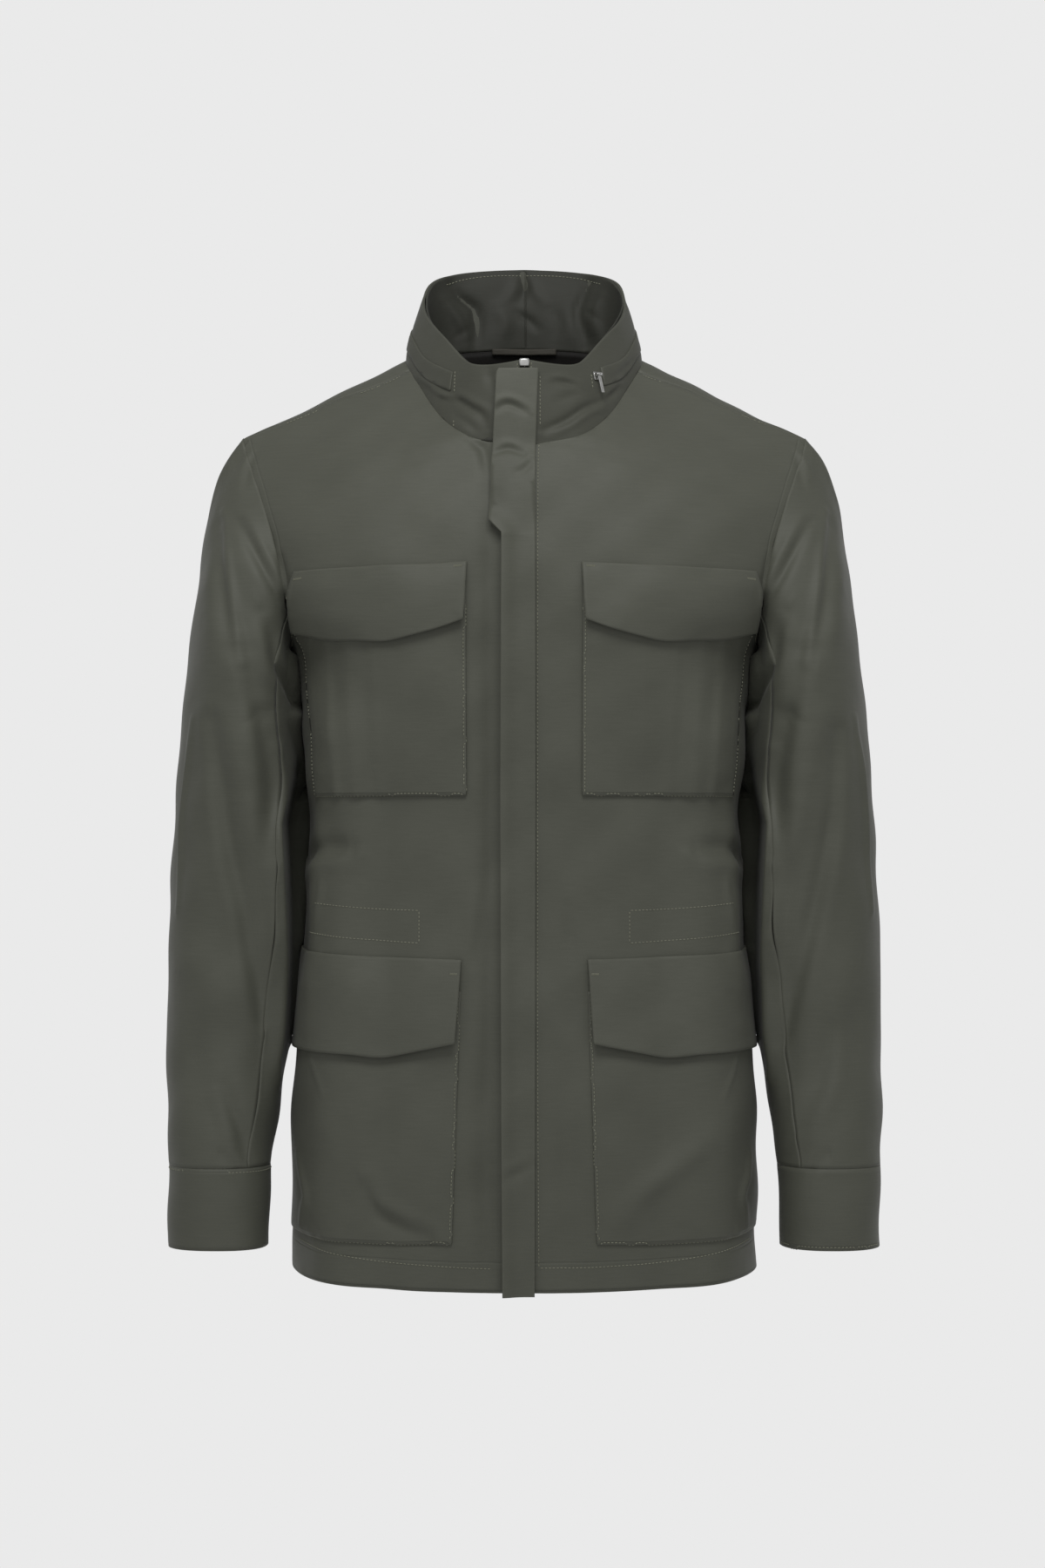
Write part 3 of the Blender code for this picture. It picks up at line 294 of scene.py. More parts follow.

# %% [markdown]
# ## Where cloth creases
# Cloth folds where it is pinched, bent or pulled: under the arm, inside the elbow, above the
# waist channel and where the collar turns. Each crease here is a line drawn on the front or
# the back, with a depth in millimetres (troughs are negative), a half width, and a roll, the
# share of its depth that stands up again along one side of it.

# %% List the creases
Crease = namedtuple("Crease", "face side line depth width roll")
FRONT, BACK = 1, -1
EACH, AS_DRAWN = 0, 2    # on both sides, or once as drawn; 1 is the left side only and -1 the right
IN_FRONT = (
    # sleeves
    (EACH, ((246, -116), (242, -148), (238, -178), (232, -216), (227, -240)), 3.4, 4.5, 0),
    (EACH, ((250, -127), (246, -162), (243, -190), (238, -226)), -3.5, 9, 0.2),
    (EACH, ((232, -125), (221, -144), (210, -164), (201, -181), (192, -195)), -4, 5, -0.4),
    (EACH, ((210, -200), (205, -213), (201, -234), (195, -257), (186, -286)), -4.2, 7.5, 0.3),
    (EACH, ((222, -232), (213, -285), (205, -338), (199, -392)), -5.6, 9.5, 0.25),
    (-1, ((252, -286), (245, -340), (238, -389), (226, -441), (219, -488), (212, -529)), -4.4, 8, 0.35),
    (1, ((253, -296), (247, -374), (233, -441), (219, -507), (209, -545)), -4.4, 8, 0.35),
    (EACH, ((239, -282), (230, -324), (219, -380), (208, -429), (201, -461)), 3.5, 9, 0),
    (EACH, ((200, -310), (193, -366), (191, -408), (191, -443), (194, -486), (198, -528), (201, -577)),
     5.7, 8, 0),
    (-1, ((241, -582), (229, -617), (224, -640)), -3.5, 7, 0.3),
    (1, ((246, -535), (238, -577), (224, -612)), -3.1, 9, 0.4),
    (EACH, ((273, -500), (267, -549), (257, -595)), -1.8, 14, 0.3),
    (EACH, ((269, -286), (276, -340), (280, -394), (283, -441)), 3.2, 4, 0),
    (EACH, ((219, -656), (219, -682), (219, -708)), -1.8, 5, 0.3),
    (EACH, ((225, -65), (231, -74), (236, -86)), 1.4, 3.5, 0),
    (EACH, ((223, -68), (226, -81), (229, -96)), -1.3, 3.5, 0.3),
    # fronts
    (EACH, ((197, -155), (193, -173), (190, -190)), -2.7, 4, 0.3),
    (EACH, ((178, -398), (167, -391), (153, -389), (140, -389)), -5.6, 8, 0.5),
    (EACH, ((161, -413), (162, -429), (166, -448)), 1.6, 2.8, 0),
    (EACH, ((162, -474), (165, -483)), 1.3, 2.8, 0),
    (EACH, ((172, -551), (169, -566), (162, -588)), 1.4, 2.8, 0),
    (EACH, ((184, -638), (180, -654), (176, -670), (179, -682), (182, -693)), 2.5, 5, 0),
    (-1, ((128, -661), (120, -679), (101, -690), (79, -698)), -3.5, 7, -0.6),
    (-1, ((154, -577), (146, -619), (154, -640)), -1.8, 16, 0.3),
    (1, ((146, -623), (122, -642), (96, -662), (80, -681)), 4, 10, 0),
    (1, ((34, -436), (37, -461), (39, -479)), -1.3, 5, 0.4),
    (-1, ((34, -429), (36, -456), (39, -479)), -1.4, 5, 0.4),
    (EACH, ((32, -556), (35, -612), (32, -682), (34, -732)), -2.2, 10, 0.3),
    (EACH, ((163, -330), (165, -372), (167, -420), (169, -470), (172, -530)), 4.2, 14, 0),
    (AS_DRAWN, ((-28, -62), (-27, -200), (-27, -400), (-28, -560), (-29, -722)), -4.2, 8, 0),
    # placket
    (AS_DRAWN, ((-24, -39), (-13, -34), (1, -40)), -2.3, 3.2, 0.6),
    (AS_DRAWN, ((-25, -74), (-13, -70), (-1, -74)), -1.8, 3.2, 0.6),
    (AS_DRAWN, ((-7, -91), (0, -87), (7, -80)), -1.4, 3.2, 0.5),
    (AS_DRAWN, ((-17, -652), (-4, -646), (7, -640)), -1.4, 5, 0.5),
    # collar, outside
    (-1, ((63, -26), (53, -29), (44, -35), (34, -42), (30, -52)), -2.7, 3.4, -0.6),
    (-1, ((72, -15), (63, -20), (55, -23)), -1.4, 2.6, 0.5),
    (-1, ((89, -1), (73, -15), (56, -29)), 1.6, 3.4, 0),
    (-1, ((28, -5), (27, -12), (25, -19)), -2.7, 4, 0),
    (-1, ((44, -60), (34, -69), (30, -86)), -3.6, 4.5, 0),
    (-1, ((56, -41), (46, -48), (35, -57)), -1.3, 3, 0.4),
    (1, ((24, -15), (32, -15), (42, -18)), -2, 2.8, 0.5),
    (1, ((17, -54), (34, -46), (48, -36), (61, -29)), -3.1, 3.3, -0.6),
    (1, ((65, -28), (71, -22), (78, -15)), -1.6, 2.8, 0.5),
    (1, ((69, -9), (79, -1), (89, 11)), -1.4, 3, 0.5),
    (1, ((27, -30), (35, -27), (45, -23)), -1.1, 4, 0.3),
    # collar, inside, seen over its front
    (AS_DRAWN, ((-60, 82), (-53, 72), (-42, 63), (-39, 51), (-40, 37), (-41, 29)), -4.8, 4.2, 0),
    (AS_DRAWN, ((-66, 69), (-57, 56), (-51, 43), (-50, 32)), 3.6, 5, 0),
    (AS_DRAWN, ((54, 84), (50, 75), (45, 60), (48, 46), (53, 32)), -4.8, 4.2, 0),
    (AS_DRAWN, ((64, 72), (60, 59), (60, 46), (63, 37)), 3.6, 5, 0),
    (AS_DRAWN, ((-1, 91), (1, 81), (-3, 70)), -2.9, 3.6, 0),
    (AS_DRAWN, ((-7, 88), (-10, 78), (-16, 68)), 1.6, 4, 0),
    (AS_DRAWN, ((6, 88), (10, 78), (16, 68)), 1.6, 4, 0),
    (AS_DRAWN, ((-6, 60), (4, 53), (11, 46)), -2.3, 3.4, 0),
    (AS_DRAWN, ((-22, 65), (-16, 51), (-19, 37)), 2.2, 6, 0),
    (AS_DRAWN, ((25, 63), (29, 50), (26, 35)), -2, 4.4, 0),
    (AS_DRAWN, ((-56, 38), (-51, 43), (-47, 47)), -1.4, 2.4, 0),
    (AS_DRAWN, ((53, 60), (58, 56), (63, 51)), -1.4, 2.4, 0),
)
BEHIND = (
    # sleeves
    (EACH, ((222, -118), (214, -160), (203, -200)), -5.7, 9, 0.5),
    (EACH, ((240, -180), (226, -228), (206, -270)), -5.3, 10, 0.5),
    (EACH, ((214, -300), (204, -340), (196, -372)), -4.4, 9, 0.4),
    (-1, ((268, -420), (238, -448), (205, -462)), -6.2, 11, 0.6),
    (-1, ((276, -490), (248, -512), (214, -520)), -5.3, 11, 0.5),
    (1, ((270, -405), (244, -440), (206, -474)), -5.9, 11, 0.6),
    (1, ((280, -478), (252, -505), (212, -508)), -5.3, 11, 0.5),
    (EACH, ((262, -560), (245, -590), (226, -612)), -3.5, 12, 0.5),
    # back: over the blades, into the armholes and above the waist channel
    (EACH, ((150, -120), (170, -160), (184, -206)), -4.8, 12, 0.5),
    (EACH, ((120, -180), (150, -214), (180, -238)), -4, 12, 0.5),
    (-1, ((170, -372), (142, -388), (104, -396)), -5.7, 10, 0.5),
    (1, ((172, -366), (146, -384), (112, -390)), -5.5, 10, 0.5),
    (EACH, ((60, -360), (66, -396), (62, -430)), -3.1, 11, 0.5),
    (AS_DRAWN, ((6, -330), (-2, -380), (4, -428)), -2.9, 11, 0.4),
    (EACH, ((96, -470), (104, -540), (98, -640)), -3.5, 16, 0.5),
    (AS_DRAWN, ((-20, -475), (-28, -560), (-18, -680)), -3.1, 18, 0.4),
)
CREASES = [Crease(face, *row) for face, rows in ((FRONT, IN_FRONT), (BACK, BEHIND)) for row in rows]
print("creases", len(CREASES))

# %% [markdown]
# ## From a drawn line to a crease in space
# A ray from in front or behind finds where each drawn point meets the cut pieces. The height
# of the cloth at any point is then a sum over the creases near it, fading towards their ends.

# %% Drop the creases on the jacket
FAR_OFF, NEARLY_THERE = 0.5, 0.1    # where a ray starts, and about where the cloth is, in metres
CREASE_PITCH = 3.0
BASE = ("front_left", "front_right", "back", "sleeve_top_left", "sleeve_top_right",
        "sleeve_under_left", "sleeve_under_right", "collar_outer", "collar_inner", "storm_placket",
        "lower_pocket_left", "lower_pocket_right")


def tree_of(names):
    points, faces = [], []
    for name in names:
        mesh = frame["nodes"][name].data
        first = len(points)
        points += [v.co.copy() for v in mesh.vertices]
        faces += [[first + i for i in p.vertices] for p in mesh.polygons]
    return BVHTree.FromPolygons(points, faces)


base_tree = tree_of(BASE)


def seen(tree, face, x, z):
    """The place and normal of what shows at (x, z), in mm, from the front or the back."""
    return tree.ray_cast(Vector((x * MM, -FAR_OFF * face, z * MM)), Vector((0, face, 0)))[:2]


def dropped(face, x, z):
    near = Vector((x * MM, -NEARLY_THERE * face, z * MM))
    return seen(base_tree, face, x, z)[0] or base_tree.find_nearest(near)[0]


def finer_line(points, pitch):
    """A curve through the points, cut at an even pitch."""
    points = np.asarray(points, float)
    ends = np.concatenate([2 * points[:1] - points[1:2], points, 2 * points[-1:] - points[-2:-1]])
    t = np.linspace(0, 1, 12, endpoint=False)[:, None]
    runs = []
    for a, b, c, d in zip(ends, ends[1:], ends[2:], ends[3:]):
        runs.append(0.5 * (2 * b + (c - a) * t + (2 * a - 5 * b + 4 * c - d) * t**2
                           + (3 * b - a - 3 * c + d) * t**3))
    fine = np.concatenate([*runs, points[-1:]])
    length = np.concatenate([[0], np.cumsum(np.linalg.norm(np.diff(fine, axis=0), axis=1))])
    places = np.linspace(0, length[-1], max(2, round(length[-1] / pitch) + 1))
    return np.stack([np.interp(places, length, column) for column in fine.T], 1)


def drawn_creases():
    for crease in CREASES:
        for side in {EACH: (-1, 1), AS_DRAWN: (1,)}.get(crease.side, (crease.side,)):
            flat = finer_line([(side * x, z) for x, z in crease.line], CREASE_PITCH)
            yield crease, side, np.array([dropped(crease.face, x, z) for x, z in flat])


creases = list(drawn_creases())
print("crease lines", len(creases))

# %% [markdown]
# ## Adding the creases up
# Across its line a crease is a bell curve, and its roll is a second bell beside the first. Long,
# low swells run under them all, because no cloth between two creases is quite even.

# %% Height of the cloth at a point
SWELL = 0.32      # the swells' height in mm; each row is how fast one turns along x, y and z, and its start
SWELLS = ((61, 23, 90, 0.4), (-38, 52, 74, 1.9), (90, -31, 47, 3.1), (17, 88, -63, 4.4),
          (-112, 40, 105, 5.2))
REACH = 3.2       # a crease is felt this many half widths from its line
ROLL_AT = 1.5     # and its roll stands this many to one side
AT_ENDS = 0.25    # the share of its depth that is left at its ends


def cloth_height(points):
    """How far the cloth stands off its cut shape at these points, in metres."""
    height = sum(np.sin(points @ np.array(way, float) + start) for *way, start in SWELLS) * SWELL * MM
    for crease, side, line in creases:
        reach = REACH * crease.width * MM
        near = ((points > line.min(0) - reach) & (points < line.max(0) + reach)).all(1)
        if not near.any():
            continue
        here = points[near]
        apart = np.linalg.norm(here[:, None] - line[None], axis=2)
        closest = apart.argmin(1)
        run = np.gradient(line, axis=0)[closest]
        step = np.linalg.norm(run, axis=1)
        offset = here - line[closest]
        onward = (offset * run).sum(1) / step**2
        within = np.clip(closest + onward, 0, len(line) - 1) - closest
        distance = np.linalg.norm(offset - run * within[:, None], axis=1) / (crease.width * MM)
        share = (closest + within) / max(1, len(line) - 1)
        fade = AT_ENDS + (1 - AT_ENDS) * np.sin(math.pi * np.clip(share, 0.04, 0.96)) ** 0.7
        turn = side * np.sign(run[:, 0] * offset[:, 2] - run[:, 2] * offset[:, 0])
        beside = np.exp(-((turn * distance - math.copysign(ROLL_AT, crease.roll)) ** 2))
        beside = beside * -abs(crease.roll)
        height[near] += crease.depth * MM * fade * (np.exp(-(distance**2)) + beside)
    return height


print("height at the chest", np.round(cloth_height(np.array([[0.1, -0.1, -0.2]])) / MM, 2), "mm")

# %% [markdown]
# ## From a wall of triangles to fine cloth
# A cut piece is a closed wall: an outside, an inside and a narrow rim. Its triangles are sewn
# and paired back into quads, and the rim's edges are creased so that they stay crisp when the
# Subdivision Surface modifier rounds everything else. That modifier pulls a surface in a
# little, so the cage is first pushed out by as much, and the fine cloth lies close to the cut.

# %% Find a wall's outside, inside and rim
SHARP = math.radians(35)
SAME_POINT = 0.02 * MM
Wall = namedtuple("Wall", "outside inside")


def sewn_copy(node):
    shape = bmesh.new()
    shape.from_mesh(frame["nodes"][node].data)
    bmesh.ops.remove_doubles(shape, verts=shape.verts[:], dist=SAME_POINT)
    bmesh.ops.join_triangles(shape, faces=shape.faces[:], angle_face_threshold=math.radians(50),
                             angle_shape_threshold=math.radians(75))
    shape.normal_update()
    return shape


def wall_of(shape):
    """The outside and the inside: the two largest stretches of faces with no sharp turn."""
    # Dictionaries keep the order in which they are filled and sets don't, so with these every
    # run of the lesson walks the faces and the border's edges in the same order
    left, sheets = dict.fromkeys(shape.faces), []
    while left:
        sheet, search = {}, [next(iter(left))]
        while search:
            face = search.pop()
            if face in left:
                del left[face]
                sheet[face] = True
                search += [f for e in face.edges if e.calc_face_angle(0) < SHARP
                           for f in e.link_faces if f in left]
        sheets.append(sheet)
    sheets.sort(key=lambda s: -sum(f.calc_area() for f in s))
    return Wall(*sheets[:2])


def facing_out(sheet, axis):
    """Whether the sheet faces away from a line straight up through axis (x, y)."""
    away = [f.normal.dot(f.calc_center_median() - Vector((*axis, f.calc_center_median().z)))
            * f.calc_area() for f in sheet]
    return sum(away) > 0


# %% Refine a piece
def evaluated_mesh(item):
    bpy.context.view_layer.update()
    graph = bpy.context.evaluated_depsgraph_get()
    return bpy.data.meshes.new_from_object(item.evaluated_get(graph), preserve_all_data_layers=True,
                                           depsgraph=graph)


def places_of(mesh):
    co = np.empty(len(mesh.vertices) * 3, np.float32)
    mesh.vertices.foreach_get("co", co)
    return co.reshape(-1, 3).astype(float)


def attribute(mesh, name, kind, values):
    layer = mesh.attributes.get(name) or mesh.attributes.new(name, kind, "POINT")
    layer.data.foreach_set("vector" if kind == "FLOAT_VECTOR" else "value",
                           np.asarray(values, np.float32).ravel())


def read(mesh, name, width):
    values = np.empty(len(mesh.vertices) * width, np.float32)
    mesh.attributes[name].data.foreach_get("vector" if width == 3 else "value", values)
    return values.reshape(-1, width).astype(float) if width > 1 else values.astype(float)


def borders_of(sheet):
    """The sheet's border as its sides, each an ordered run of points between two corners."""
    edges = {e: True for f in sheet for e in f.edges if sum(g in sheet for g in e.link_faces) == 1}
    rings = []
    while edges:
        run = list(edges.popitem()[0].verts)
        for grow in (False, True):
            while True:
                tip = run[-1] if grow else run[0]
                found = [e for e in tip.link_edges if e in edges]
                if not found:
                    break
                del edges[found[0]]
                other = found[0].other_vert(tip)
                run.insert(len(run) if grow else 0, other)
        rings.append([v.co.copy() for v in run])
    return [side for ring in rings for side in split_at_corners(ring)]


def split_at_corners(ring, least=math.radians(42)):
    """A border cut where it turns by least or more; a closed one starts at its first corner."""
    closed = (ring[0] - ring[-1]).length < 1e-7
    points = ring[:-1] if closed else ring
    count = len(points)
    turns = [k for k in range(count) if (closed or 0 < k < count - 1)
             and (points[k] - points[k - 1]).angle(points[(k + 1) % count] - points[k], 0) > least]
    if not turns:
        return [ring]
    if closed:
        points = points[turns[0]:] + points[:turns[0]] + [points[turns[0]]]
        cuts = [0] + [(k - turns[0]) for k in turns[1:]] + [count]
    else:
        cuts = [0] + turns + [count - 1]
    return [points[a:b + 1] for a, b in zip(cuts, cuts[1:])]


# %% [markdown]
# ## Soft steps and a wider pocket
# A change of shape comes in softly between two places, such as two heights. The chest pockets
# use one to be drawn out over the fronts, towards the arms.

# %% Step softly, and widen a pocket
def ramp(values, start, end):
    """A soft step: 0 at start and before it, 1 at end and past it, whichever way they lie."""
    share = np.clip((values - start) / (end - start), 0, 1)
    return share**2 * (3 - 2 * share)


WIDER = {"chest_pocket": 12, "lower_pocket": 0}    # how far the outer side is drawn out, in mm
WIDENED = (80, 155)                                # between these distances from the middle
fronts_tree = tree_of(("front_left", "front_right"))


def spread(points, wider):
    """A pocket's outer side drawn out over the front by so many millimetres."""
    points = points.copy()
    away = np.sign(points[:, 0]) * ramp(np.abs(points[:, 0]) / MM, *WIDENED) * wider * MM
    for k in np.flatnonzero(away):
        x, y, z = points[k]
        here, there = (fronts_tree.ray_cast(Vector((place, -FAR_OFF, z)), Vector((0, 1, 0)))[0]
                       for place in (x, x + away[k]))
        if here and there:
            points[k] += there - here
    return points


print("soft step", [round(float(ramp(v, 0, 4)), 2) for v in range(5)])

# %% [markdown]
# ## Flat panels beside a sleeve
# The fronts lie flat almost to their sides, and a hanging sleeve's front stands as far forward
# beside them. Each row below is one such change: how far it goes, and the places, in
# millimetres, between which it comes in across the body, in depth and in height.

# %% Draw the panels forward
Change = namedtuple("Change", "most across depth heights")
BODY_FULLER = Change(21, (105, 170), (26, -14), ((-245, -305),))
SLEEVE_FULLER = Change(18, (216, 190), (15, -35), ((-325, -400), (-620, -560)))
SLEEVE_SUNK = Change(13, (218, 188), (15, -30), ((-238, -273), (-385, -330)))
BODY_ENDS = 200    # what is further from the middle belongs to the arms


def amount(change, points):
    """How many millimetres of a change each point takes."""
    x, y, z = points.T / MM
    share = ramp(np.abs(x), *change.across) * ramp(y, *change.depth)
    for height in change.heights:
        share = share * ramp(z, *height)
    return share * change.most


def flattened(points, sleeve):
    """A push to the front that lets a panel lie flat almost to the slot between body and sleeve."""
    if sleeve:
        forward = amount(SLEEVE_FULLER, points) - amount(SLEEVE_SUNK, points)
    else:
        forward = amount(BODY_FULLER, points) * (np.abs(points[:, 0] / MM) < BODY_ENDS)
    push = np.zeros(points.shape)
    push[:, 1] = -forward * MM
    return push


# %% [markdown]
# ## The slot, and a sleeve that rests on the body
# In front a deep, narrow slot stays open between sleeve and body. Behind it the sleeve leans on
# the body: a ray finds each point's gap to what is beside it, and small gaps are closed.

# %% Open the slot and close the gap behind it
SLOT_HEIGHTS = (300, 335, 370, 410, 460, 500, 545)    # below the shoulder, in mm
SLOT_EDGES = (184, 189, 196, 194, 192, 191, 191)      # how far out the sleeve's front turns back
SLOT_DEPTH, SLOT_TOP, SLOT_FOOT = (46, 12), (-295, -330), (-560, -530)
ROUNDED = 2.5    # how softly the slot's edge turns, in mm
WALL = 2         # a sleeve's thickness, by which its inner side stands back


def slot(points, outer):
    """A sleeve's push away from the body in front, which leaves a deep, narrow slot beside it."""
    x, y, z = points.T / MM
    edge = np.interp(-z, SLOT_HEIGHTS, SLOT_EDGES) + (1 - outer) * WALL
    short = ROUNDED * np.log1p(np.exp(np.clip((edge - np.abs(x)) / ROUNDED, -30, 30)))
    push = np.zeros(points.shape)
    push[:, 0] = np.sign(x) * short * ramp(y, *SLOT_DEPTH) * ramp(z, *SLOT_TOP) * ramp(z, *SLOT_FOOT) * MM
    return push


CLOSEST, FARTHEST = 0.35, 8.0    # the gap that a leaning sleeve leaves, and the widest that it closes
LETS_GO = 3                      # how soon it lets a wider gap be
LEAN_HEIGHTS, LEAN_DEPTHS = (245, 330), (-70, 2)    # the depth behind which it leans, by height
LEAN_SOFTLY, LEAN_TOP, LEAN_FOOT = (0, 16), (-225, -235), (-560, -540)
LEAN_ACROSS, LEAN_BACK = 205, 75


def lean(points, outer):
    """A sleeve's push towards the body wherever the two nearly meet, so that they touch."""
    push = np.zeros(points.shape)
    x, y, z = points.T / MM
    behind = np.interp(-z, LEAN_HEIGHTS, LEAN_DEPTHS)
    share = ramp(y - behind, *LEAN_SOFTLY) * ramp(z, *LEAN_FOOT) * ramp(z, *LEAN_TOP)
    share *= (np.abs(x) < LEAN_ACROSS) & (y < LEAN_BACK)
    for k in np.flatnonzero(share):
        side, way = ("left", -1) if x[k] > 0 else ("right", 1)
        hits = [dressed[n].tree.ray_cast(Vector(points[k]), Vector((way, 0, 0)))[3]
                for n in (f"front_{side}", "back", f"lower_flap_{side}")]
        gap = min((h for h in hits if h is not None), default=None)
        if gap is None:
            continue
        gap = max(0, gap / MM - (1 - outer[k]) * WALL)
        most = (FARTHEST - CLOSEST) * math.exp(-((max(gap, FARTHEST) - FARTHEST) / LETS_GO) ** 2)
        push[k, 0] = way * max(0, min(gap - CLOSEST, most)) * share[k] * MM
    return push


# %% [markdown]
# ## Distances along a border
# Stitching, puckers and lifted edges all need to know how far a point is from a piece's border,
# or from one side of it. A side is picked by giving a point near its middle.

# %% Measure from the border
BORDER_PITCH = 1.0 * MM
NO_LINE = 0.02    # what a point has for its distance to a stitched line where none is near


def nearest_on(sides, points):
    """Distance to the nearest border point, and how far along the border that is."""
    samples = np.concatenate(sides)
    tree = KDTree(len(samples))
    for k, point in enumerate(samples):
        tree.insert(point, k)
    tree.balance()
    index, distance = np.array([tree.find(p)[1:] for p in points]).T
    return distance, index * BORDER_PITCH


def side_near(sides, probe):
    probe = np.array(probe) * MM
    return min(sides, key=lambda side: np.linalg.norm(side[len(side) // 2] - probe))


def along_sides(sides, points, rows):
    """A change along single sides that fades away from them: rows of probe, most and reach in mm."""
    change = np.zeros(len(points))
    for probe, most, reach in rows:
        away = nearest_on([side_near(sides, probe)], points)[0] / (reach * MM)
        change += most * MM * np.exp(-(away**2))
    return change


def stitch_distance(sides, points, stitched):
    """Signed distance to the nearest stitched line, as the edge distance less its inset."""
    line = np.full(len(points), NO_LINE)
    for probe, inset in stitched:
        distance = nearest_on([side_near(sides, probe)], points)[0] - inset * MM
        line = np.where(np.abs(distance) < np.abs(line), distance, line)
    return line


# %% [markdown]
# ## The finishing touch on fine cloth
# Sewing gathers cloth a little, so small puckers run along every border. They are added to the
# creases and lifts, and each point moves by the sum along its own way outward. The changes of
# shape from the cells above come on top.

# %% Crease, pucker and lift
PUCKERS = ((5.1, 1, 0), (3.3, 0.6, 1.7), (11, 0.5, 0))    # each wave's slowness in mm, share and start
TUCK_AT, TUCK_REACH, TUCK_START = 3 * MM, 5 * MM, 1.5 * MM


def finish_cloth(fine, sides, cut_of, pucker, stitched, lifts, leaning, drops):
    """Creases, seam puckers, lifted edges and the attributes that the weave reads."""
    points, outward = places_of(fine), read(fine, "outward", 3)
    outward /= np.linalg.norm(outward, axis=1, keepdims=True)
    attribute(fine, "cut", "FLOAT_VECTOR", cut_of(points))
    edge, run = nearest_on(sides, points)
    wave = sum(part * np.sin(run / (slow * MM) + start) for slow, part, start in PUCKERS)
    tuck = pucker * MM * wave * 0.5 * np.exp(-((edge - TUCK_AT) / TUCK_REACH) ** 2)
    tuck *= np.clip(edge / TUCK_START, 0, 1)
    attribute(fine, "edge", "FLOAT", edge)
    attribute(fine, "line", "FLOAT", stitch_distance(sides, points, stitched))
    height = cloth_height(points) + tuck + along_sides(sides, points, lifts)
    moved = points + outward * height[:, None] + flattened(points, leaning)
    moved[:, 2] -= along_sides(sides, points, drops)
    if leaning:
        outer = read(fine, "outer", 1)
        moved += slot(moved, outer)
        moved += lean(moved, outer)
    fine.vertices.foreach_set("co", moved.astype(np.float32).ravel())
    fine.update()


def outside_tree(mesh):
    outer = read(mesh, "outer", 1) > 0.5
    faces = [p.vertices[:] for p in mesh.polygons if all(outer[i] for i in p.vertices)]
    return BVHTree.FromPolygons([v.co.copy() for v in mesh.vertices], faces)


# %% [markdown]
# ## From a wall to its cage
# The cage is the coarse mesh that the modifier refines. It keeps two things for later: each
# point's way outward, and whether the point is on the outside of its wall.

# %% Make the cage, and push it out
def cage_of(node, shape, wall, lined):
    outward = {v: Vector() for v in shape.verts}
    for sheet, way in ((wall.outside, 1), (wall.inside, -1)):
        for face in sheet:
            for vertex in face.verts:
                outward[vertex] += face.normal * face.calc_area() * way
    outer_verts = {v for f in wall.outside for v in f.verts}
    crease = shape.edges.layers.float.new("crease_edge")
    for edge in shape.edges:
        kinds = {0 if f in wall.outside else 1 if f in wall.inside else 2 for f in edge.link_faces}
        if len(kinds) > 1 or (kinds == {2} and edge.calc_face_angle(0) > SHARP):
            edge[crease] = 1.0
    for face in shape.faces:
        face.smooth = True
        face.material_index = int(lined and face in wall.inside)
    cage = bpy.data.meshes.new(f"{node}_cage")
    shape.verts.index_update()
    shape.to_mesh(cage)
    attribute(cage, "outward", "FLOAT_VECTOR", [outward[v].normalized() for v in shape.verts])
    attribute(cage, "outer", "FLOAT", [v in outer_verts for v in shape.verts])
    shape.free()
    return cage


def refined(item, levels):
    """The fine mesh, from a cage first pushed out by as much as the modifier pulls it in."""
    cage = item.data
    rounding = item.modifiers.new("rounding", "SUBSURF")
    rounding.levels = rounding.render_levels = 1
    target = places_of(cage)
    cage_points = target.copy()
    for _ in range(2):
        pulled_in = evaluated_mesh(item)
        cage_points += target - places_of(pulled_in)[:len(target)]
        cage.vertices.foreach_set("co", cage_points.astype(np.float32).ravel())
        cage.update()
        bpy.data.meshes.remove(pulled_in)
    rounding.levels = rounding.render_levels = levels
    fine = evaluated_mesh(item)
    item.modifiers.clear()
    return fine


# %% [markdown]
# ## The piece as one record
# A dressed piece is kept with its sides and with a tree that finds the nearest point of its
# outside, because its stitching is laid along the one and on the other.

# %% Dress one cut piece
Dressed = namedtuple("Dressed", "item sides tree")
dressed = {}


def dress(node, family, levels, pucker=0.25, lined=True, stitched=(), lifts=(), turned=False,
          leaning=False, drops=(), wider=0):
    shape = sewn_copy(node)
    wall = wall_of(shape)
    if facing_out(wall.outside, family.axis) == turned:
        wall = Wall(wall.inside, wall.outside)
    sides = [spread(finer_line(side, BORDER_PITCH), wider) for side in borders_of(wall.outside)]
    item = placed(f"{node}_cloth", cage_of(node, shape, wall, lined))
    fine = item.data = refined(item, levels)
    fine.vertices.foreach_set("co", spread(places_of(fine), wider).astype(np.float32).ravel())
    finish_cloth(fine, sides, family.cut_of, pucker, stitched, lifts, leaning, drops)
    fine.materials.clear()
    fine.materials.append(shell_cloth)
    if lined:
        fine.materials.append(lining_cloth)
    dressed[node] = Dressed(item, sides, outside_tree(fine))
    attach(item, "jacket")
    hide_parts(node)
    return item


def tally():
    print("dressed", len(dressed), "faces", sum(len(d.item.data.polygons) for d in dressed.values()))


# %% [markdown]
# ## Threads that follow each piece
# The `cut` attribute is the place on the flat cloth. Across, it is the angle round the body, the
# arm or the neck times a middling radius, so threads hardly bunch or stretch at the sides. Along,
# it is the height.

# %% Say where each point lies on the flat cloth
Family = namedtuple("Family", "axis cut_of")


def round_axis(x, y, radius):
    def cut(points):
        angle = np.arctan2(points[:, 0] - x * MM, y * MM - points[:, 1])
        return np.stack([angle * radius * MM, points[:, 2], np.zeros(len(points))], 1)
    return cut


BODY = Family((0, 0.01), round_axis(0, 10, 150))
NECK = Family((0, -0.005), round_axis(0, -5, 80))
ARMS = {"left": Family((0.245, 0.0), round_axis(243, 0, 55)),
        "right": Family((-0.245, 0.0), round_axis(-243, 0, 55))}

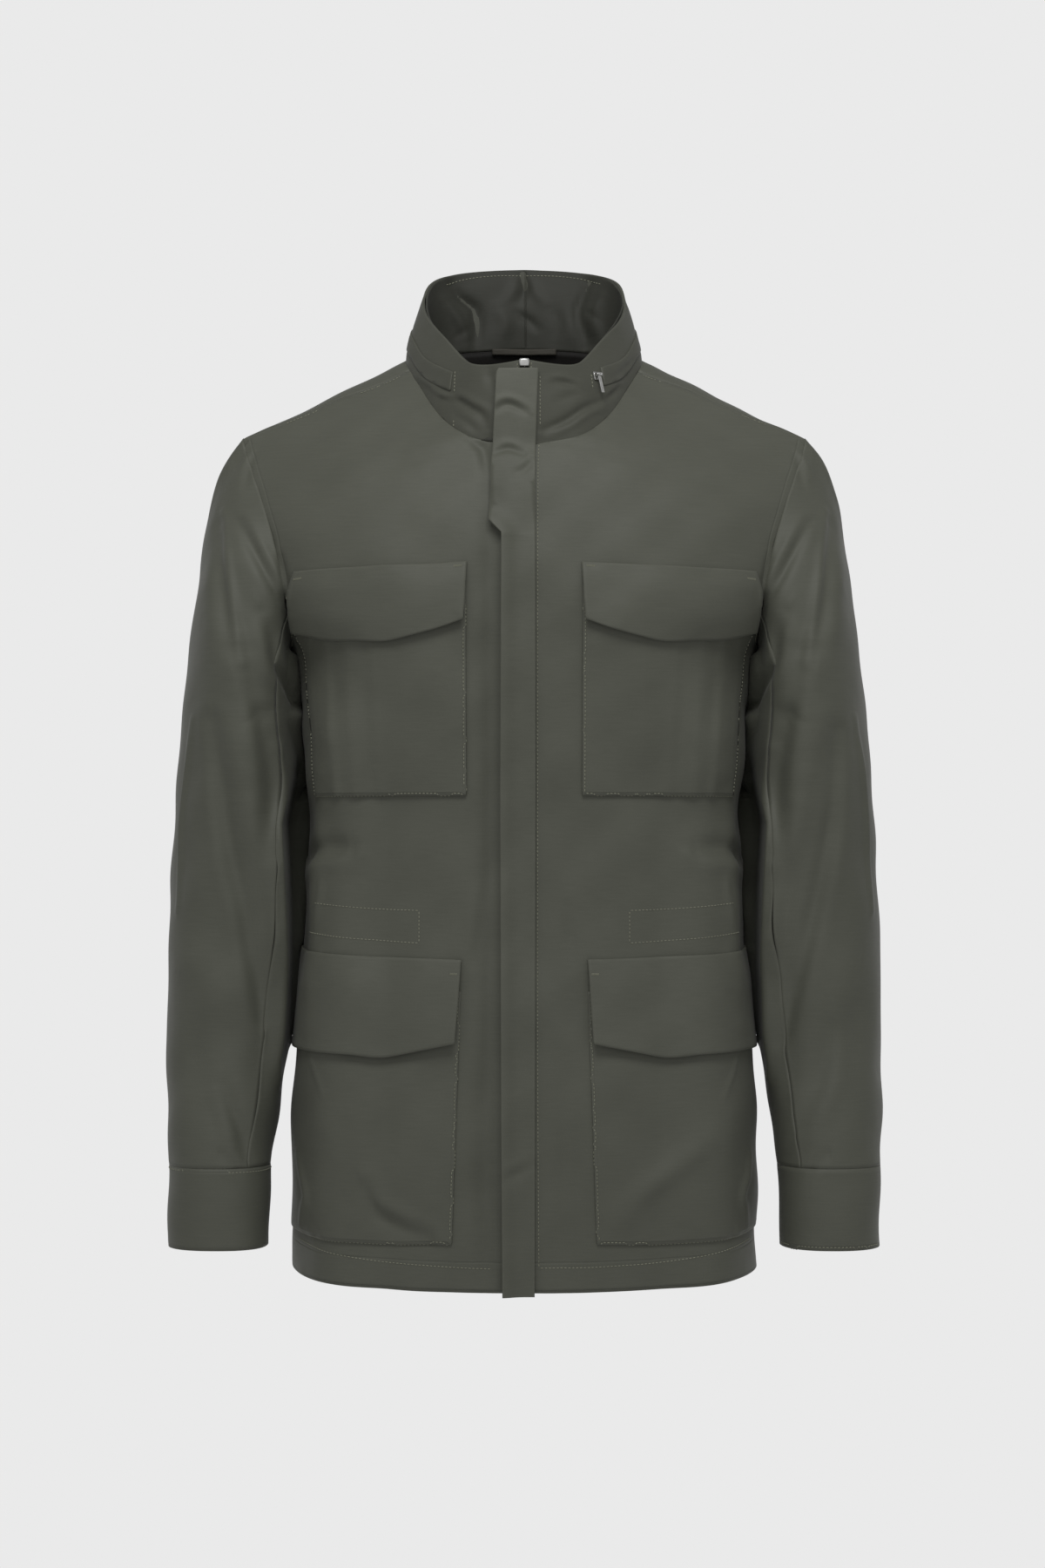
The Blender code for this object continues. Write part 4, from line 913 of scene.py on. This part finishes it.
# %% [markdown]
# ## Dress the body
# The fronts are refined three times, and the back, which is plain, twice. Each is given the
# sides along which it is stitched, as a point near the side and the stitching's distance from
# the edge in millimetres. Rows for the left are mirrored for the right.

# %% Fronts and back
SIDES = (("left", 1), ("right", -1))
SHOULDER_LINE, ARMHOLE_LINE, HEM_LINE, CUFF_LINE, POCKET_LINE = 2.2, 5.8, 24.0, 3.0, 1.8
TOPSTITCHING = {
    "front": (((165, -8, -25), SHOULDER_LINE), ((203, -60, -140), ARMHOLE_LINE),
              ((95, -95, -740), HEM_LINE)),
    "back": (((205, 70, -120), ARMHOLE_LINE), ((-205, 70, -120), ARMHOLE_LINE),
             ((0, 113, -740), HEM_LINE)),
    "chest_pocket": (((46, -122, -290), POCKET_LINE), ((180, -50, -270), POCKET_LINE),
                     ((110, -112, -347), POCKET_LINE)),
    "lower_pocket": (((54, -122, -600), POCKET_LINE), ((130, -95, -703), POCKET_LINE)),
    "cuff": (((250, -79, -648), CUFF_LINE),),
    "collar_outer": (((80, -70, 20), SHOULDER_LINE), ((-80, -70, 20), SHOULDER_LINE)),
}


def on_side(flip, rows):
    return tuple(((flip * x, y, z), *rest) for (x, y, z), *rest in rows)


for side, flip in SIDES:
    dress(f"front_{side}", BODY, 3, stitched=on_side(flip, TOPSTITCHING["front"]))
dress("back", BODY, 2, stitched=TOPSTITCHING["back"])
tally()

# %% [markdown]
# ## Pockets, flaps, placket and collar
# What lies on the body takes the same creases as the body under it, so nothing pushes through.
# It is sunk by about a millimetre to lie close. A flap or placket is only sewn along one side,
# so its free edges stand a little off the cloth.

# %% Pieces that lie on the body, and the collar
EVERYWHERE = 900    # a reach wide enough to move the whole piece
LIFTS = {           # a point near a side, how far that side stands off or is sunk, and the reach
    "chest_pocket": (((110, -112, -347), -0.9, EVERYWHERE),),
    "lower_pocket": (((130, -95, -703), -0.9, EVERYWHERE),),
    "chest_flap": (((100, -120, -222), 0.5, 8), ((46, -128, -188), 0.4, 6),
                   ((100, -120, -222), -0.8, EVERYWHERE)),
    "lower_flap": (((110, -105, -556), 0.6, 8), ((52, -128, -515), 0.6, 7),
                   ((110, -105, -556), -0.8, EVERYWHERE)),
    "storm_placket": (((-22, -127, -400), 5.6, 10),),
    "hood_zip_flange": (((60, -65, -10), -1.2, EVERYWHERE),),
}
DROPS = {"collar_outer": (((0, 75, 24), 1.8, 4),), "collar_inner": (((0, 62, 24), 1.8, 4),)}
for side, flip in SIDES:
    for name, wider in WIDER.items():
        dress(f"{name}_{side}", BODY, 3, lined=False, wider=wider,
              stitched=on_side(flip, TOPSTITCHING[name]), lifts=on_side(flip, LIFTS[name]))
    for name in ("chest_flap", "lower_flap"):
        dress(f"{name}_{side}", BODY, 3, lined=False, lifts=on_side(flip, LIFTS[name]))
dress("storm_placket", BODY, 3, pucker=0.12, lined=False, lifts=LIFTS["storm_placket"])
dress("collar_outer", NECK, 3, lined=False, stitched=TOPSTITCHING["collar_outer"],
      drops=DROPS["collar_outer"])
dress("collar_inner", NECK, 3, lined=False, turned=True, drops=DROPS["collar_inner"])
dress("hood_zip_flange", NECK, 2, pucker=0.15, lined=False, lifts=LIFTS["hood_zip_flange"])
# Painted shade: the collar, its inside and the hood zip's flange take the darker twills.
for node, finish in (("collar_inner", inner_cloth_painted_shade), ("collar_outer", collar_cloth_painted_shade),
                     ("hood_zip_flange", collar_cloth_painted_shade)):
    dressed[node].item.data.materials[0] = finish
tally()

# %% [markdown]
# ## Sleeves last
# A sleeve's push depends on what is beside it, so sleeves and cuffs are dressed after everything
# that they could touch.

# %% Sleeves and cuffs
for side, flip in SIDES:
    dress(f"sleeve_top_{side}", ARMS[side], 3, leaning=True)
    dress(f"sleeve_under_{side}", ARMS[side], 3, leaning=True)
    dress(f"cuff_{side}", ARMS[side], 3, stitched=on_side(flip, TOPSTITCHING["cuff"]))
tally()

# %% [markdown]
# ## Facing, loop and zip tape
# The dark pieces are dressed like the cloth, and then given the satin or the tape.

# %% Dark pieces
for node, finish, slot_name in (("neck_facing", lining_cloth, "dark_lining"),
                                ("hanger_loop", loop_tape, "dark_lining"),
                                ("main_zip", zip_tape, "black_zip")):
    item = dress(node, BODY, 2, pucker=0.3, lined=False, turned=node != "main_zip")
    item.data.materials.clear()
    item.data.materials.append(finish)
tally()

# %% [markdown]
# ## Sewing
# A topstitch is a row of short threads that dip into the cloth at both ends, about eight to the
# inch. Each is a small egg, drawn out along the row. A row either follows a side of its piece
# at a set distance, or is drawn on the front or back and dropped on the cloth.

# %% Rows of stitches
STITCH, PITCH, THICK = 2.3 * MM, 3.1 * MM, 0.45 * MM
FIRST, PROUD = 0.3, 0.3    # a row's start as a share of its pitch, and how proud of the cloth, of THICK
Row = namedtuple("Row", "points normals")


def row_beside(carrier, probe, inset):
    """A row along the carrier's side nearest to probe, inset millimetres inside it."""
    piece = dressed[carrier]
    side = side_near(piece.sides, probe)
    middle = np.mean(np.concatenate(piece.sides), axis=0)
    keep = max(1, round(inset))
    run = np.gradient(side, axis=0)[keep:-keep]
    points, normals = [], []
    for point, along in zip(side[keep:-keep], run):
        at, normal = piece.tree.find_nearest(Vector(point))[:2]
        inward = normal.cross(Vector(along)).normalized()
        inward *= math.copysign(1, inward.dot(Vector(middle - point)))
        at, normal = piece.tree.find_nearest(at + inward * inset * MM)[:2]
        points.append(at)
        normals.append(normal)
    return Row(np.array(points), np.array(normals))


def row_drawn(carrier, face, line):
    """A row along a line of (x, z) in millimetres, seen from the front or the back."""
    points, normals = [], []
    for x, z in finer_line(line, 1.0):
        at, normal = seen(dressed[carrier].tree, face, x, z)
        if at is not None:
            points.append(at)
            normals.append(normal)
    return Row(np.array(points), np.array(normals))


def sew(carrier, rows, pitch=PITCH, stitch=STITCH, thick=THICK):
    shape = bmesh.new()
    for row in rows:
        length = np.concatenate([[0], np.cumsum(np.linalg.norm(np.diff(row.points, axis=0), axis=1))])
        for start in np.arange(FIRST * pitch, length[-1] - stitch, pitch):
            a, b = (Vector([np.interp(t, length, c) for c in row.points.T]) for t in (start, start + stitch))
            nearest = min(len(row.normals) - 1, np.searchsorted(length, start + stitch / 2))
            along = (b - a).normalized()
            beside = along.cross(Vector(row.normals[nearest])).normalized()
            up = beside.cross(along)
            turn = Matrix((beside * thick, up * thick, along * stitch / 2)).transposed().to_4x4()
            bmesh.ops.create_uvsphere(shape, u_segments=5, v_segments=4, radius=1.0,
                                      matrix=Matrix.Translation((a + b) / 2 + up * thick * PROUD) @ turn)
    item = built(shape, f"{carrier}_sewing", stitch_thread)
    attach(item, "jacket")
    return item


# %% [markdown]
# ## Where the rows run
# The waist channel is made for a cord, so it is sewn above, below and across its front ends,
# right round the back. The placket is sewn down one side only, and small bartacks, dense bars
# of thread, hold the corners of the flaps.

# %% Sew the jacket
CHANNEL = (((84, -439), (84, -465)), ((84, -439), (118, -438), (148, -436), (170, -434)),
           ((84, -465), (118, -463), (148, -461), (174, -458)))
HEM = ((60, -721.5), (111, -719), (150, -714), (183, -707))


def mirrored(line):
    return tuple((-x, z) for x, z in line)


DRAWN = {
    "front_left": (*CHANNEL, ((12.5, -60), (11, -85), (10.5, -200), (10.5, -400), (10.5, -560), (11.5, -722)),
                   ((12, -722), *HEM)),
    "front_right": (*map(mirrored, CHANNEL), ((-26, -723), *mirrored(HEM))),
    "back": (((-170, -434), (-80, -437), (0, -438), (80, -437), (170, -434)),
             ((-174, -458), (-80, -462), (0, -463), (80, -462), (174, -458)),
             ((-183, -707), (-150, -714), (-80, -720), (0, -722), (80, -720), (150, -714), (183, -707))),
    "collar_inner": (((-66, 82), (-50, 87.5), (-27, 91), (0, 91.8), (27, 91), (50, 87.5), (66, 82)),),
    "collar_outer": (((12.6, -10), (12.6, -52)), ((-56, -3), (-56.5, -23)), ((-57, -44), (-57, -50)),
                     ((54, -6), (55.5, -19))),
}
SEWN = ("front_left", "front_right", "back", "cuff_left", "cuff_right", "collar_outer", "collar_inner",
        "chest_pocket_left", "chest_pocket_right", "lower_pocket_left", "lower_pocket_right")


def kind_of(node):
    return node.removesuffix("_left").removesuffix("_right")


sewn = {}
for carrier in SEWN:
    flip = -1 if carrier.endswith("_right") else 1
    face = BACK if carrier == "back" else FRONT
    beside = on_side(flip, TOPSTITCHING.get(kind_of(carrier), ()))
    # The hem's stitches are drawn, and its line among the others only presses their groove
    rows = [row_beside(carrier, probe, inset) for probe, inset in beside if inset < HEM_LINE]
    rows += [row_drawn(carrier, face, line) for line in DRAWN.get(carrier, ())]
    sewn[carrier] = sew(carrier, [r for r in rows if len(r.points) > 2])
print("sewn pieces", len(sewn), "faces", sum(len(i.data.polygons) for i in sewn.values()))

# %% Add the bartacks
BARTACKS = {"chest_flap": (((49, -164.5), (57, -165)), ((179, -172.5), (187, -173.5))),
            "lower_flap": (((53, -489), (60, -489)),)}
BAR_ROWS, BAR_PITCH, BAR_STITCH, BAR_THICK = (-0.5, 0, 0.5), 1.0 * MM, 1.3 * MM, 0.24 * MM
for kind, bars in BARTACKS.items():
    for side, flip in SIDES:
        carrier = f"{kind}_{side}"
        rows = [row_drawn(carrier, FRONT, [(flip * x, z + lift) for x, z in line]) for line in bars
                for lift in BAR_ROWS]
        sewn[carrier] = sew(carrier, rows, BAR_PITCH, BAR_STITCH, BAR_THICK)
print("sewn pieces", len(sewn))

# %% [markdown]
# ## The zip's metal
# Sliders and pull are die-cast and tumbled, so every edge is slightly round: a small bevel
# does that and catches the light. The teeth are pressed on the tape in two rows that mesh.

# %% Sliders, pull and teeth
ROUNDING = {"hood_zip_pull": 0.25, "hood_zip_slider": 0.25, "main_zip_slider": 0.3}    # in mm
METAL_SHARP = math.radians(38)


def cast_metal(node, body):
    shape = bmesh.new()
    shape.from_mesh(frame["nodes"][node].data)
    bmesh.ops.remove_doubles(shape, verts=shape.verts[:], dist=SAME_POINT)
    bmesh.ops.dissolve_limit(shape, angle_limit=math.radians(2), verts=shape.verts[:], edges=shape.edges[:])
    shape.normal_update()
    sharp = [e for e in shape.edges if e.calc_face_angle(0) > METAL_SHARP]
    bmesh.ops.bevel(shape, geom=sharp, offset=ROUNDING[node] * MM, offset_type="OFFSET", segments=2,
                    profile=0.5, affect="EDGES", material=-1, clamp_overlap=True)
    item = built(shape, f"{node}_metal", silver)
    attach(item, body)
    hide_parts(node)
    return item


for node in ROUNDING:
    cast_metal(node, "hood_zip_pull" if node == "hood_zip_pull" else "jacket")

TEETH_PITCH = 2.2 * MM
TOOTH = (2.6 * MM, 1.2 * MM, 1.3 * MM)
ASIDE, RAISED = 1.0 * MM, 0.3 * MM    # each row's distance from the middle, and out of the tape
zip_points = places_of(dressed["main_zip"].item.data)
heights = np.arange(zip_points[:, 2].min() + 4 * MM, zip_points[:, 2].max() - 2 * MM, TEETH_PITCH)
teeth = bmesh.new()
for k, z in enumerate(heights):
    band = zip_points[np.argsort(np.abs(zip_points[:, 2] - z))[:16]]
    place = Vector(((-1) ** k * ASIDE, band[:, 1].min() + RAISED, z))
    bmesh.ops.create_cube(teeth, size=1.0, matrix=Matrix.Translation(place) @ Matrix.Diagonal((*TOOTH, 1)))
bmesh.ops.bevel(teeth, geom=teeth.edges[:], offset=0.2 * MM, offset_type="OFFSET", segments=1,
                profile=0.5, affect="EDGES", material=-1)
zip_teeth = built(teeth, "main_zip_teeth", silver, smooth=False)
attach(zip_teeth, "jacket")
print("teeth", len(heights))

# %% [markdown]
# ## The flat cut of each piece
# Width and length of the cloth that each piece was cut from, in metres, and the area of the cut,
# which is less than the two multiplied, as no cut is a full rectangle. Each dressed piece's row is
# looked up with the sewing that goes through it, and nothing more is made of them.

# %% Look up each piece's flat cut
CUTS = {
    "front": (0.28, 0.79, 0.185), "back": (0.51, 0.83, 0.352), "sleeve_top": (0.26, 0.64, 0.131),
    "sleeve_under": (0.18, 0.56, 0.070), "cuff": (0.285, 0.067, 0.0184),
    "chest_pocket": (0.167, 0.168, 0.0247),
    "chest_flap": (0.163, 0.063, 0.0091), "lower_pocket": (0.225, 0.208, 0.0445),
    "lower_flap": (0.228, 0.088, 0.0174), "storm_placket": (0.038, 0.745, 0.0213),
    "collar_outer": (0.46, 0.12, 0.0323), "collar_inner": (0.44, 0.12, 0.0305),
    "neck_facing": (0.216, 0.045, 0.0086), "hood_zip_flange": (0.34, 0.025, 0.0067),
    "main_zip": (0.010, 0.745, 0.0044), "hanger_loop": (0.055, 0.010, 0.0003),
}
for node, piece in dressed.items():
    width, length, area = CUTS[kind_of(node)]
    extra = [sewn[node]] if node in sewn else []
print("sheets", len(dressed))

# %% [markdown]
# ## Studio
# A pale room lights the cloth from every side, least from the left and the right, and a broad
# soft light above the front gives the folds their shape. The floor is far enough below that the
# jacket hangs free.

# %% Floor, room and lights
FLOOR_RADIUS, FLOOR_HEIGHT = 2.6, -1.75
pale = Finish("pale_floor", Roughness=0.9, Emission_Color=(0.8, 0.8, 0.8, 1), Emission_Strength=0.12)
floor_grain = pale.node("ShaderNodeTexNoise", Vector=pale.node("ShaderNodeTexCoord", output=3), Scale=3.0)
greys = ((0.3, (0.80, 0.80, 0.80, 1)), (0.7, (0.84, 0.84, 0.84, 1)))
floor_shape = bmesh.new()
bmesh.ops.create_circle(floor_shape, cap_ends=True, segments=96, radius=FLOOR_RADIUS)
floor = built(floor_shape, "studio_floor", pale.surface(
    Base_Color=pale.node("ShaderNodeValToRGB", {"stops": greys}, Fac=floor_grain)), smooth=False)
floor.data.transform(Matrix.Translation((0, 0, FLOOR_HEIGHT)))

world = bpy.data.worlds.new("pale_room")
world.use_nodes = True
tree = world.node_tree
room = tree.nodes["Background"]
sky, level, fade = (tree.nodes.new(f"ShaderNode{kind}") for kind in ("TexCoord", "SeparateXYZ", "ValToRGB"))
tree.links.new(sky.outputs["Generated"], level.inputs[0])
across, away, up = (Wire(socket) for socket in level.outputs)
tree.links.new((up * 0.5 + 0.5).socket, fade.inputs[0])
tree.links.new(fade.outputs[0], room.inputs["Color"])
sideways = across ** 2.0
in_front = (1.0 - away) * 0.5
brightness = 1.0 - sideways * sideways * 0.5 - in_front * in_front * 0.3
tree.links.new(brightness.socket, room.inputs["Strength"])
FOOT, TOP, WALLS = 0.10, 0.30, 0.823    # how bright the room is below, above and at eye level
stops = fade.color_ramp.elements
for place, grey in ((0.22, FOOT), (0.37, WALLS), (0.63, WALLS), (0.80, TOP)):
    stops.new(place).color = (grey, grey, grey, 1)
stops[0].color, stops[-1].color = (FOOT, FOOT, FOOT, 1), (TOP, TOP, TOP, 1)
bpy.context.scene.world = world
bpy.context.scene.view_settings.view_transform = "Standard"


def soft_light(name, place, aim, size, power):
    data = bpy.data.lights.new(name, "AREA")
    data.shape, data.size, data.size_y, data.energy = "RECTANGLE", *size, power
    light = placed(name, data)
    light.location = place
    light.rotation_euler = (Vector(aim) - Vector(place)).to_track_quat("-Z", "Y").to_euler()


soft_light("overhead_softbox", (0.0, -1.25, 1.15), (0, 0, -0.3), (1.1, 0.7), 18)
for name, x in (("left_softbox", -1.9), ("right_softbox", 1.9)):
    soft_light(name, (x, 0.3, 0.2), (0, 0, -0.4), (0.5, 1.4), 0.7)
print("lights", sum(o.type == "LIGHT" for o in bpy.context.scene.objects))
